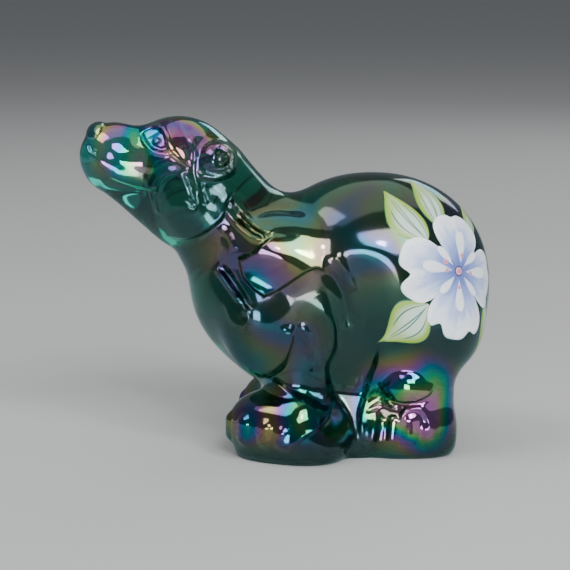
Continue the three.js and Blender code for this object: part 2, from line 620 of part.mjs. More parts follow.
function solid({ points, triangles }) {
  return new wasm.Manifold(new wasm.Mesh({
    numProp: 3, vertProperties: new Float32Array(points.flat()), triVerts: new Uint32Array(triangles.flat()),
  }));
}

function geometryOf(manifold) {
  const { vertProperties, triVerts } = manifold.getMesh();
  const geometry = new THREE.BufferGeometry();
  geometry.setAttribute('position', new THREE.BufferAttribute(new Float32Array(vertProperties), 3));
  geometry.setIndex([...triVerts]);
  geometry.computeBoundingBox();
  const { min, max } = geometry.boundingBox;
  geometry.translate(-(min.x + max.x) / 2, -(min.y + max.y) / 2, 0);
  geometry.computeVertexNormals();
  return geometry;
}

const clay = solid(thin(skin(), triangleBudget)).subtract(solid(groundBlock(100, 20)));
const glass = new THREE.MeshStandardMaterial({ color: 0x0f3d3a, roughness: 0.06, metalness: 0.1 });
const polarBear = new THREE.Mesh(geometryOf(clay), glass);
polarBear.name = 'polar_bear';

const figurine = new THREE.Group();
figurine.add(polarBear);

export default figurine;
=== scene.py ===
"""Polar bear figurine of pressed glass, with a rainbow lustre and a painted blossom on its flank.

The bear is shaped like clay: named masses blend into each other, then fine strokes carve the fur, the face
and the toes. Lengths are in millimetres until a mesh is made, and the nose points to -X.
"""
import logging
import math
from dataclasses import dataclass, field, replace
from enum import Enum
from functools import cache, cached_property
from itertools import product

import bpy
import numpy as np
from mathutils import Matrix, Vector


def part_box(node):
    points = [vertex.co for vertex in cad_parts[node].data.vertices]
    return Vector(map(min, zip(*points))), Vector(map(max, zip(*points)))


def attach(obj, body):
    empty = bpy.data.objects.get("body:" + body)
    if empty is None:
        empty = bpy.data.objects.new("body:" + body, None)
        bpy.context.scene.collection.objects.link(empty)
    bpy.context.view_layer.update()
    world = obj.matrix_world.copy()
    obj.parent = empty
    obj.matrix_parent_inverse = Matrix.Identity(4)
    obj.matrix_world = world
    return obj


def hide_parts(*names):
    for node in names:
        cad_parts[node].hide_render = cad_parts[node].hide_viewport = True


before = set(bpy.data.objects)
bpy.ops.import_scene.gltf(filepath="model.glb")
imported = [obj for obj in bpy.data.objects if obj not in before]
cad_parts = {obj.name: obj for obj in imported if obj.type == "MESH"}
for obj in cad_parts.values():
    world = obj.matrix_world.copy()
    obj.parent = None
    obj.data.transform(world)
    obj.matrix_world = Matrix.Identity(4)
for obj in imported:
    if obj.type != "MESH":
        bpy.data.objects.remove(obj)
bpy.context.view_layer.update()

Array = np.ndarray
Socket = bpy.types.NodeSocket
Vec2 = tuple[float, float]
Vec3 = tuple[float, float, float]
MM = 0.001
TINY = 1e-9
FAR = 1e9
FOLD = 0.04  # how round the fold between the bear's two sides is, in square millimetres
log = logging.getLogger("bear")


def join(a: Array, b: Array, blend: float) -> Array:
    """Distances to two masses together, with a seam of width blend filled in between them."""
    h = np.maximum(blend - np.abs(a - b), 0) / blend
    return np.minimum(a, b) - h * h * (blend / 4)


def meet(a: Array, b: Array, blend: float) -> Array:
    """Keeps what is in both masses, with the edge rounded over blend."""
    return -join(-a, -b, blend)


def ease(t: Array) -> Array:
    """Smooth step of values cut to 0 and 1."""
    t = np.clip(t, 0, 1)
    return t * t * (3 - 2 * t)


@dataclass
class Cloud:
    """Points in space, in millimetres, as one array for each axis."""

    x: Array
    y: Array
    z: Array

    def mirrored(self) -> "Cloud":
        """The points folded on to the +Y side, with the fold rounded a little."""
        return Cloud(self.x, np.sqrt(self.y * self.y + FOLD), self.z)

    def pick(self, index: Array) -> "Cloud":
        """Some of the points."""
        return Cloud(self.x[index], self.y[index], self.z[index])


@dataclass(frozen=True)
class Mass:
    """Mass of glass. Its seam is the width over which it blends into what it is added to."""

    seam: float = field(default=1.0, kw_only=True)

    def distance(self, p: Cloud) -> Array:
        """Signed distance at each point, below zero inside."""
        raise NotImplementedError

    def added(self, body: Array, p: Cloud) -> Array:
        """Distances to a body with this mass blended on to it."""
        return join(body, self.distance(p), self.seam)


@dataclass(frozen=True)
class Ellipsoid(Mass):
    """Rounded mass, turned by yaw about Z and pitch about Y. Boxy over 2 makes it squarer."""

    centre: Vec3
    radii: Vec3
    yaw: float = 0.0
    pitch: float = 0.0
    boxy: float = 2.0

    def distance(self, p: Cloud) -> Array:
        """Measures how far points lie from the skin, about right near to it.

        Args:
            p: Points.

        Returns:
            The signed distance at each point.
        """
        cy, sy = math.cos(math.radians(self.yaw)), math.sin(math.radians(self.yaw))
        cp, sp = math.cos(math.radians(self.pitch)), math.sin(math.radians(self.pitch))
        dx, dy, dz = p.x - self.centre[0], p.y - self.centre[1], p.z - self.centre[2]
        along = cy * dx + sy * dy
        local = (cp * along - sp * dz, cy * dy - sy * dx, sp * along + cp * dz)
        unit = [np.abs(v) / r for v, r in zip(local, self.radii)]
        if self.boxy == 2.0:
            size = np.sqrt(unit[0] ** 2 + unit[1] ** 2 + unit[2] ** 2) + TINY
            slope = np.sqrt(sum((u / r) ** 2 for u, r in zip(unit, self.radii))) + TINY
            return size * (size - 1) / slope
        total = sum(u ** self.boxy for u in unit) + TINY
        size = total ** (1 / self.boxy)
        slope = np.sqrt(sum((u ** (self.boxy - 1) / r) ** 2 for u, r in zip(unit, self.radii)))
        return (size - 1) * total / (slope * size + TINY)


@dataclass(frozen=True)
class Limb(Mass):
    """Round bar that tapers from start to end. Flat under 1 narrows it sideways."""

    start: Vec3
    end: Vec3
    radius_start: float
    radius_end: float
    flat: float = 1.0

    def distance(self, p: Cloud) -> Array:
        """Measures how far points lie from the bar.

        Args:
            p: Points.

        Returns:
            The signed distance at each point.
        """
        d = [b - a for a, b in zip(self.start, self.end)]
        q = (p.x - self.start[0], p.y - self.start[1], p.z - self.start[2])
        length = d[0] ** 2 + d[1] ** 2 + d[2] ** 2
        t = np.clip((q[0] * d[0] + q[1] * d[1] + q[2] * d[2]) / length, 0, 1)
        off = (q[0] - t * d[0], (q[1] - t * d[1]) / self.flat, q[2] - t * d[2])
        radius = self.radius_start + (self.radius_end - self.radius_start) * ease(t)
        return np.sqrt(off[0] ** 2 + off[1] ** 2 + off[2] ** 2) - radius


def to_span(x: Array, z: Array, start: Array, end: Array) -> tuple[Array, Array]:
    """Measures places in the side view against a straight span.

    Args:
        x: Places along X.
        z: Their heights.
        start: Where the span starts, as x and z.
        end: Where it ends.

    Returns:
        Distances to the span, and how far along it the nearest point lies, from 0 to 1.
    """
    dx, dz = end - start
    t = np.clip(((x - start[0]) * dx + (z - start[1]) * dz) / (dx * dx + dz * dz), 0, 1)
    return np.hypot(x - start[0] - t * dx, z - start[1] - t * dz), t


@dataclass(frozen=True)
class Carving:
    """Relief on both sides of the bear, laid out by a path of x and z in the side view.

    It starts at start_side, measured sideways from the bear's middle, and is full start_span further out.
    """

    name: str
    width: float
    height: float
    path: tuple[Vec2, ...]
    start_side: float = 3.0
    start_span: float = 3.0

    @cached_property
    def curve(self) -> Array:
        """Points that the relief is measured from."""
        return np.array(self.path)

    def reach(self) -> float:
        """How far outside the curve the relief still shows."""
        return 0.0

    def rise(self, x: Array, z: Array, start: Array) -> Array:
        """Height over places in the side view, where start is 1 once the carving is full."""
        raise NotImplementedError

    def relief(self, m: Cloud) -> tuple[Array, Array]:
        """Works out the relief over points.

        Args:
            m: Points folded on to one side.

        Returns:
            Which points the carving reaches, and its height over each of them.
        """
        low, high = self.curve.min(axis=0) - self.reach(), self.curve.max(axis=0) + self.reach()
        near = np.nonzero((m.x > low[0]) & (m.x < high[0]) & (m.z > low[1]) & (m.z < high[1]))[0]
        start = np.clip((m.y[near] - self.start_side) / self.start_span, 0, 1)
        return near, self.rise(m.x[near], m.z[near], start)


@dataclass(frozen=True)
class Stroke(Carving):
    """Ridge along a smooth line, or groove where its height is negative. Its ends taper off."""

    taper: float = 5.0
    blunt: float = 0.05

    @cached_property
    def curve(self) -> Array:
        """Draws a smooth curve through the path.

        Returns:
            Its points, four to a span.
        """
        points = [np.array(p, dtype=float) for p in (self.path[0], *self.path, self.path[-1])]
        found = []
        for a, b, c, d in zip(points, points[1:], points[2:], points[3:]):
            for t in (0.0, 0.25, 0.5, 0.75):
                found.append(0.5 * (2 * b + (c - a) * t + (2 * a - 5 * b + 4 * c - d) * t ** 2
                                    + (3 * b - a - 3 * c + d) * t ** 3))
        return np.array([*found, points[-1]])

    def reach(self) -> float:
        """How far from the line the carving still shows."""
        return 3 * self.width

    def section(self, distance: Array, side: Array) -> Array:
        """Height across the line, from 0 to 1, where side is 1 on its left and -1 on its right."""
        return np.exp(-(distance / self.width) ** 2)

    def rise(self, x: Array, z: Array, start: Array) -> Array:
        """Works out the height over places in the side view.

        Args:
            x: Places along X.
            z: Their heights.
            start: How far the carving has come in at each place, from 0 to 1.

        Returns:
            The height at each place.
        """
        best = np.full(x.shape, FAR)
        along, side = np.zeros(x.shape), np.ones(x.shape)
        for n, (a, b) in enumerate(zip(self.curve, self.curve[1:])):
            distance, t = to_span(x, z, a, b)
            closer = distance < best
            best = np.where(closer, distance, best)
            along = np.where(closer, (n + t) / (len(self.curve) - 1), along)
            turn = (b[0] - a[0]) * (z - a[1]) - (b[1] - a[1]) * (x - a[0])
            side = np.where(closer, np.sign(turn), side)
        fade = ease(np.minimum(along, 1 - along) * self.taper + self.blunt)
        return self.height * fade * start * self.section(best, side)


@dataclass(frozen=True)
class Ledge(Stroke):
    """Step that rises on the line's left within its width, and sinks back over its fade."""

    fade: float = 5.0

    def reach(self) -> float:
        """How far from the line the step still shows."""
        return self.fade

    def section(self, distance: Array, side: Array) -> Array:
        """Height across the line: a crisp step, then a long slope."""
        signed = distance * side
        return ease(signed / self.width + 0.5) * ease(1 - signed / self.fade)


@dataclass(frozen=True)
class Patch(Carving):
    """Closed area that stands up, or lies low where its height is negative. Width is that of its edge."""

    def level(self, x: Array, z: Array) -> Array:
        """Finds the places inside the outline.

        Args:
            x: Places along X.
            z: Their heights.

        Returns:
            1 well inside the outline, 0 outside it.
        """
        best = np.full(x.shape, FAR)
        inside = np.zeros(x.shape, dtype=bool)
        for a, b in zip(self.curve, np.roll(self.curve, -1, axis=0)):
            dx, dz = b - a
            best = np.minimum(best, to_span(x, z, a, b)[0])
            inside ^= ((a[1] > z) != (b[1] > z)) & (x < dx * (z - a[1]) / (dz if dz else TINY) + a[0])
        return ease(np.where(inside, best, -1.0) / self.width)

    def rise(self, x: Array, z: Array, start: Array) -> Array:
        """Height over places in the side view, where start is 1 once the carving is full."""
        return self.height * start * self.level(x, z)


@dataclass(frozen=True)
class FadingPatch(Patch):
    """Patch that fades out in one direction."""

    fade_from: Vec2 = (0, 0)
    fade_along: Vec2 = (0, 1)
    fade_span: float = 8.0

    def level(self, x: Array, z: Array) -> Array:
        """1 well inside the outline, 0 outside it and where it has faded."""
        away = (x - self.fade_from[0]) * self.fade_along[0] + (z - self.fade_from[1]) * self.fade_along[1]
        return Patch.level(self, x, z) * ease(1 - away / self.fade_span)


@dataclass(frozen=True)
class Trunk:
    """Rump, barrel and neck."""

    rump: Ellipsoid = Ellipsoid((23.8, 0, 44.2), (32.2, 25.5, 30.8), boxy=2.15)
    barrel: Ellipsoid = Ellipsoid((4.5, 0, 38.0), (24.4, 21.5, 22.9), seam=8)
    neck: Limb = Limb((-3.8, 0, 44.9), (-23.2, 0, 71.4), 18.4, 14.9, seam=8)

    def form(self, p: Cloud) -> Array:
        """Distances to the trunk."""
        return self.neck.added(self.barrel.added(self.rump.distance(p), p), p)


@dataclass(frozen=True)
class Toe:
    """Short upright roll, at an angle from the paw's outer side towards its front."""

    angle: float
    radius: float
    top: float
    low: float
    proud: float = 0.9


@dataclass(frozen=True)
class Paw:
    """Paw with a row of toes."""

    foot: Ellipsoid
    toes: tuple[Toe, ...]
    crease: float = 0.6

    def rim(self, angle: float, height: float, inset: float) -> Vec3:
        """Finds a point on the paw's skin.

        Args:
            angle: Degrees from the outer side towards the front.
            height: Height above the ground.
            inset: How far inwards the point is moved.

        Returns:
            The point.
        """
        power, radii, centre = self.foot.boxy, self.foot.radii, self.foot.centre
        ux, uy = -math.sin(math.radians(angle)), math.cos(math.radians(angle))
        level = (1 - (abs(height - centre[2]) / radii[2]) ** power) ** (1 / power)
        spread = ((abs(ux) / radii[0]) ** power + (abs(uy) / radii[1]) ** power) ** (1 / power)
        reach = level / spread - inset
        c, s = math.cos(math.radians(self.foot.yaw)), math.sin(math.radians(self.foot.yaw))
        return (centre[0] + (c * ux - s * uy) * reach, centre[1] + (s * ux + c * uy) * reach, height)

    def form(self, m: Cloud) -> Array:
        """Shapes the paw.

        Args:
            m: Points folded on to one side.

        Returns:
            Distances to the paw and its toes.
        """
        body = self.foot.distance(m)
        for toe in self.toes:
            inset = toe.radius - toe.proud
            top = self.rim(toe.angle, toe.top - toe.radius, inset)
            low = self.rim(toe.angle, toe.low + toe.radius, inset)
            body = Limb(top, low, toe.radius, toe.radius, seam=self.crease).added(body, m)
        return body


@dataclass(frozen=True)
class Forequarters:
    """Chest, upper arms and forelegs. The far foreleg stands a little back."""

    breast: Ellipsoid = Ellipsoid((-9.1, 0, 42.9), (16.5, 20.5, 18.6), pitch=-14)
    upper_arm: Ellipsoid = Ellipsoid((-7.5, 15.0, 36.4), (10.3, 9.5, 15.0), pitch=-8, seam=4)
    leg: Limb = Limb((3.5, 11.5, 30), (3.3, 13, 8), 9.3, 9.3)
    paw: Paw = Paw(
        Ellipsoid((1.1, 15.0, 8.0), (17.2, 13.5, 10.5), yaw=28, boxy=2.4, seam=3),
        (Toe(66, 2.8, 12.4, 3.6), Toe(38, 3.0, 13.0, 3.8), Toe(9, 2.9, 12.6, 4.0), Toe(-14, 2.6, 11.4, 4.0)))
    sole: Ellipsoid = Ellipsoid((1.1, 15.0, 2.0), (15.4, 12.0, 5.0), yaw=28, boxy=2.4, seam=1)
    chest_seam: float = 1.0
    far_step: float = 4.5
    step_span: float = 8.0

    def step(self, y: Array) -> Array:
        """How far back the foreleg stands on each side."""
        return self.far_step * ease(y / self.step_span + 0.5)

    def form(self, p: Cloud, m: Cloud) -> Array:
        """Shapes the chest and forelegs.

        Args:
            p: Points.
            m: The same points folded on to one side.

        Returns:
            Distances to the chest and forelegs.
        """
        w = Cloud(m.x - self.step(p.y), m.y, m.z)
        leg = self.paw.foot.added(self.leg.distance(w), w)
        leg = self.sole.added(np.minimum(leg, self.paw.form(w)), w)
        chest = self.upper_arm.added(self.breast.distance(p), m)
        return join(leg, chest, self.chest_seam)


@dataclass(frozen=True)
class Hindquarters:
    """Thighs, hind legs with their ankle cuffs, and hind paws."""

    thigh: Ellipsoid = Ellipsoid((37.1, 9.5, 36.0), (16.3, 16.0, 17.0))
    shin: Limb = Limb((34.4, 11, 20.0), (34.5, 11, 8.0), 11.0, 10.8, seam=4)
    cuff: Ellipsoid = Ellipsoid((31.6, 15.0, 20.1), (7.4, 8.8, 5.6), seam=1.2)
    paw: Paw = Paw(
        Ellipsoid((32.8, 10.5, 6.0), (13.3, 12.0, 10.0), boxy=2.8),
        (Toe(54, 1.7, 12.0, 3.8), Toe(40, 1.8, 12.2, 3.6), Toe(26, 2.0, 12.4, 3.6),
         Toe(3, 3.0, 13.4, 3.8, proud=1.0), Toe(-23, 2.6, 10.6, 3.4)))
    paw_seam: float = 1.5

    def form(self, m: Cloud) -> Array:
        """Distances to the hind legs."""
        leg = self.cuff.added(self.shin.added(self.thigh.distance(m), m), m)
        return join(leg, self.paw.form(m), self.paw_seam)


@dataclass(frozen=True)
class Head:
    """Raised head: skull, muzzle, jaw, cheek ruff, nose, eyes and ears."""

    skull: Ellipsoid = Ellipsoid((-28.3, 0, 77.2), (14.9, 12.5, 13.35), pitch=10)
    muzzle: Limb = Limb((-36.5, 0, 77.4), (-46.3, 0, 79.8), 6.3, 9.2, flat=0.95, seam=6)
    jowl: Ellipsoid = Ellipsoid((-41.0, 5.5, 77.1), (6.5, 3.4, 5.0), pitch=-14, seam=3)
    jaw: Limb = Limb((-46.5, 0, 77.0), (-28.1, 0, 64.8), 7.2, 9.5, flat=0.85, seam=1.5)
    ruff: Ellipsoid = Ellipsoid((-25.5, 0, 67.7), (10.9, 16.2, 12.4), seam=4)
    nose: Ellipsoid = Ellipsoid((-50.5, 0, 86.1), (3.0, 4.4, 2.9), pitch=20, seam=1.2)
    ball: Ellipsoid = Ellipsoid((-34.65, 8.3, 84.55), (2.0, 1.9, 1.8), seam=0.3)
    ear: Ellipsoid = Ellipsoid((-19.1, 9.5, 79.2), (5.4, 6.0, 5.2), yaw=-25, seam=1.6)

    def form(self, p: Cloud, m: Cloud) -> Array:
        """Shapes the head.

        Args:
            p: Points.
            m: The same points folded on to one side.

        Returns:
            Distances to the head.
        """
        parts = ((self.muzzle, p), (self.jowl, m), (self.jaw, p), (self.ruff, p), (self.nose, p),
                 (self.ball, m), (self.ear, m))
        body = self.skull.distance(p)
        for mass, cloud in parts:
            body = mass.added(body, cloud)
        return body


EYE = Patch(
    "eye", 0.7, -0.8,
    ((-38.7, 86.4), (-37.4, 87.4), (-35.5, 88.0), (-33.7, 87.8), (-32.4, 86.2), (-31.1, 82.1), (-33.5, 81.7),
     (-35.9, 82.4), (-37.4, 84.1)))

EAR = Patch(
    "ear", 1.3, -1.9,
    ((-19.5, 83.4), (-17.4, 83.0), (-15.8, 81.9), (-15.0, 80.3), (-15.2, 78.6), (-16.6, 77.7),
     (-19.5, 77.5)))

FACE = (
    Stroke("ear edge", 0.6, 0.6, (
        (-19.6, 84.1), (-17.0, 83.8), (-14.6, 82.0), (-14.0, 79.4), (-14.9, 77.2), (-16.8, 75.9))),
    Stroke("ear lip", 0.9, 0.8, (
        (-13.9, 79.6), (-14.6, 77.3), (-16.6, 75.8), (-19.2, 75.3), (-22.0, 75.8), (-24.0, 77.0))),
    Ledge("upper lip", 0.7, 0.9, (
        (-52.9, 80.5), (-50.8, 79.2), (-49.0, 77.2), (-46.9, 75.0), (-44.2, 73.7), (-40.1, 72.3),
        (-36.1, 71.5), (-34.4, 70.5)), fade=5.0),
    Stroke("jaw line", 0.6, 0.45, ((-36.0, 71.6), (-35.2, 68.3), (-34.5, 65.2))),
    Ledge("nose pad", 0.6, 0.5, (
        (-53.6, 85.1), (-51.2, 85.2), (-49.6, 86.8), (-49.0, 89.5)), fade=3.0, start_side=-3),
    Stroke("nostril", 0.7, -0.7, ((-52.5, 83.7), (-51.8, 82.0), (-50.1, 81.5)), start_side=0),
    Stroke("upper lid", 0.5, 0.5, (
        (-39.3, 86.3), (-37.7, 87.7), (-35.5, 88.4), (-33.4, 88.1), (-32.1, 86.5), (-30.8, 82.0))),
    Stroke("lower lid", 0.5, 0.45, (
        (-39.0, 86.0), (-37.7, 83.9), (-35.9, 82.0), (-33.5, 81.3), (-30.8, 81.7))),
    Ledge("brow", 0.5, 0.8, (
        (-32.9, 89.0), (-31.6, 87.1), (-30.0, 83.4), (-27.7, 79.9), (-25.6, 77.9)), fade=4.0),
    Stroke("eye fold", 0.5, 0.45, ((-31.4, 81.8), (-28.7, 79.8), (-25.6, 78.0))),
    Stroke("face edge", 0.7, 0.7, (
        (-26.0, 86.4), (-25.0, 83.5), (-24.5, 81.3), (-25.0, 77.6), (-24.3, 74.4), (-22.4, 70.4))),
    Ledge("cheek arch", 0.6, 0.8, (
        (-34.7, 70.0), (-34.4, 72.6), (-33.3, 75.0), (-31.7, 76.1), (-29.8, 76.5), (-28.2, 75.5),
        (-26.9, 72.6)), fade=3.0),
    Stroke("front cheek lock", 0.6, -0.6, ((-27.4, 76.8), (-25.9, 73.3), (-24.3, 67.7))),
    Stroke("back cheek lock", 0.6, -0.5, ((-23.2, 74.9), (-22.7, 71.7), (-21.6, 68.2))),
    Stroke("cheek lock tip", 0.5, 0.45, ((-26.9, 70.8), (-24.6, 68.4), (-25.1, 67.1), (-28.0, 68.2))),
)

FUR = (
    Ledge("ruff edge", 1.3, 1.2, (
        (-32.6, 58.6), (-27.3, 58.6), (-23.3, 60.2), (-19.8, 62.6), (-17.2, 65.2), (-16.1, 69.2),
        (-13.7, 73.2)), fade=7.0),
    Stroke("upper neck lock", 0.9, 0.9, (
        (-15.3, 70.6), (-12.9, 67.1), (-9.5, 63.8), (-6.5, 61.9), (-3.9, 62.2))),
    Stroke("lower neck lock", 0.9, 0.8, (
        (-16.6, 67.6), (-15.1, 64.9), (-12.7, 62.2), (-9.5, 60.1), (-6.8, 60.1))),
    Stroke("neck groove", 0.9, -0.6, ((-14.8, 67.6), (-12.1, 64.4), (-8.9, 61.7), (-6.3, 60.9))),
    Stroke("throat lock", 0.8, 0.4, ((-18.5, 62.6), (-15.6, 59.9), (-14.0, 56.4))),
    Stroke("chest lock", 1.0, -1.0, ((-18.3, 52.5), (-14.9, 48.7), (-11.7, 44.1), (-10.1, 41.4))),
    Stroke("chest lock edge", 0.7, 0.5, ((-19.4, 51.7), (-16.5, 47.6), (-12.8, 43.0))),
    Stroke("chest tuft front", 0.8, 0.5, ((-17.0, 43.6), (-15.7, 39.2), (-13.1, 36.5))),
    Stroke("chest tuft back", 0.8, 0.5, ((-12.0, 42.5), (-10.9, 39.2), (-12.8, 36.2))),
    Stroke("flank groove", 1.3, -0.8, ((9.4, 52.1), (12.6, 47.8), (14.7, 43.5), (15.5, 35.5))),
    Stroke("flank ridge", 1.2, 0.4, ((11.5, 56.4), (14.9, 51.0), (17.3, 45.7))),
)

BLADE = FadingPatch(
    "shoulder blade", 1.1, 1.5,
    ((-13.9, 54.6), (-9.8, 57.0), (-7.0, 59.4), (-4.4, 61.5), (3.0, 61.2), (9.9, 56.3), (9.4, 51.0),
     (7.0, 51.8), (4.6, 51.0), (0.4, 48.1), (-3.1, 45.7), (-6.8, 44.4), (-9.8, 46.3), (-12.6, 49.3)),
    start_side=8.0, fade_from=(-2.0, 54.3), fade_along=(0.5, 0.86), fade_span=8.0)

FORELEGS = (
    Ledge("upper arm edge", 2.0, 0.9, (
        (-8.2, 21.1), (-5.6, 22.6), (-1.9, 25.1), (0.0, 29.1), (1.1, 34.2), (0.8, 37.7)), fade=5.0),
    Stroke("foreleg ridge", 1.3, 0.6, ((2.1, 37.4), (5.1, 33.6), (6.4, 28.2), (5.6, 23.9))),
    Ledge("foreleg back edge", 2.6, 1.2, (
        (12.3, 14.6), (11.2, 17.3), (10.1, 25.7), (12.0, 30.1), (12.0, 36.0), (10.6, 40.3), (8.8, 46.0)),
        fade=6.0),
    Ledge("paw top edge", 1.7, 0.9, (
        (11.3, 14.4), (9.2, 14.8), (2.8, 18.0), (-1.2, 20.2), (-5.4, 22.7)), fade=5.0),
    Ledge("paw rim", 1.1, 0.9, (
        (-1.6, 3.4), (1.1, 6.3), (4.3, 9.0), (9.4, 11.4), (11.3, 14.2), (11.9, 17.8)), fade=4.0),
)

HINDLEGS = (
    Ledge("ankle roll", 1.0, 1.0, (
        (23.7, 20.6), (26.1, 17.6), (29.4, 15.9), (33.6, 16.2), (37.6, 18.0), (38.7, 20.8)), fade=5.0),
    Stroke("ankle hollow", 0.7, -0.4, ((26.4, 16.5), (29.6, 15.0), (33.9, 15.2), (37.6, 16.7))),
    Stroke("instep ridge", 0.8, 0.4, ((20.6, 15.6), (21.6, 17.6), (23.0, 18.6), (24.4, 19.0))),
    Stroke("knuckle ridge", 0.8, 0.4, ((20.5, 12.2), (24.5, 14.2), (26.9, 14.7), (29.1, 14.0))),
    Stroke("toe arch", 0.7, 0.6, (
        (29.0, 8.8), (30.4, 12.7), (32.9, 14.1), (35.3, 13.7), (36.9, 11.5), (38.0, 8.2))),
    Ledge("hind leg front edge", 2.0, 1.0, (
        (24.6, 37.6), (23.8, 31.4), (22.8, 25.5), (21.5, 21.1), (20.4, 15.9), (19.1, 12.3), (18.9, 8.5),
        (18.9, 2.7)), fade=5.0),
)


@dataclass(frozen=True)
class Shape:
    """The whole bear as one form, with its carving."""

    trunk: Trunk = Trunk()
    head: Head = Head()
    forequarters: Forequarters = Forequarters()
    hindquarters: Hindquarters = Hindquarters()
    web: Ellipsoid = Ellipsoid((16, 0, 12), (22, 15.5, 22), boxy=3, seam=3)
    skirt: Ellipsoid = Ellipsoid((16, 0, 3), (20, 20.0, 20), boxy=2.4, seam=2)
    waist: Limb = Limb((17.1, 33.5, 47.5), (16.9, 29.5, 16.1), 9.5, 10, seam=7)
    shoulder: Ellipsoid = Ellipsoid((-0.2, 15.0, 54.4), (16, 8.0, 11.0), pitch=12, seam=3)
    legs_seam: float = 2.0
    trunk_seam: float = 3.0
    head_seam: float = 1.5
    carving: tuple[Carving, ...] = (EYE, EAR, *FACE, *FUR, BLADE)
    fore_carving: tuple[Carving, ...] = FORELEGS
    hind_carving: tuple[Carving, ...] = HINDLEGS
    carved_within: float = 2.5
    ground_depth: float = 0.6
    ground_rounding: float = 2.2

    def distance(self, x: Array, y: Array, z: Array) -> Array:
        """Measures how far points lie from the skin.

        Args:
            x: Places of the points along X.
            y: Their places along Y.
            z: Their heights.

        Returns:
            The signed distance at each point, below zero inside the glass.
        """
        p = Cloud(x, y, z)
        m = p.mirrored()
        legs = join(self.forequarters.form(p, m), self.hindquarters.form(m), self.legs_seam)
        legs = self.skirt.added(self.web.added(legs, p), p)
        body = join(self.trunk.form(p), legs, self.trunk_seam)
        body = meet(body, -self.waist.distance(m), self.waist.seam)
        body = self.shoulder.added(body, m)
        body = join(body, self.head.form(p, m), self.head_seam)
        skin = np.nonzero(np.abs(body) < self.carved_within)[0]
        near = m.pick(skin)
        stepped = Cloud(near.x - self.forequarters.step(y[skin]), near.y, near.z)
        carved = body[skin]
        for cloud, parts in ((near, self.carving), (stepped, self.fore_carving), (near, self.hind_carving)):
            for part in parts:
                index, height = part.relief(cloud)
                carved[index] -= height
        body[skin] = carved
        return meet(body, -(z + self.ground_depth), self.ground_rounding)

    def slope(self, p: Array, probe: float = 0.02) -> tuple[Array, Array]:
        """Measures the distance and how it slopes.

        Args:
            p: Points, one to a row.
            probe: How far to each side the slope is felt.

        Returns:
            The distance at each point, and the slope there, one row to a point.
        """
        columns = []
        for axis in range(3):
            step = np.zeros(3)
            step[axis] = probe
            ahead, behind = p + step, p - step
            columns.append((self.distance(*ahead.T) - self.distance(*behind.T)) / (2 * probe))
        return self.distance(*p.T), np.stack(columns, axis=1)

    def settle(self, p: Array, rounds: int = 3, limit: float = 0.4, least_steep: float = 1e-6) -> Array:
        """Moves points on to the skin in a few short steps.

        Args:
            p: Points, one to a row.
            rounds: How many steps are made.
            limit: How long a step may be.
            least_steep: Keeps the step finite where the distance is level.

        Returns:
            The moved points.
        """
        for _ in range(rounds):
            here, slope = self.slope(p)
            steep = (slope ** 2).sum(axis=1) + least_steep
            p = p + slope * np.clip(-here / steep, -limit, limit)[:, None]
        return p

    def normals(self, p: Array, probe: float = 0.05) -> Array:
        """Outward unit normals at points of the skin, felt as far as the probe."""
        _, slope = self.slope(p, probe)
        return slope / (np.linalg.norm(slope, axis=1, keepdims=True) + TINY)

    def uncarved(self) -> "Shape":
        """The same form without its carving."""
        return replace(self, carving=(), fore_carving=(), hind_carving=())


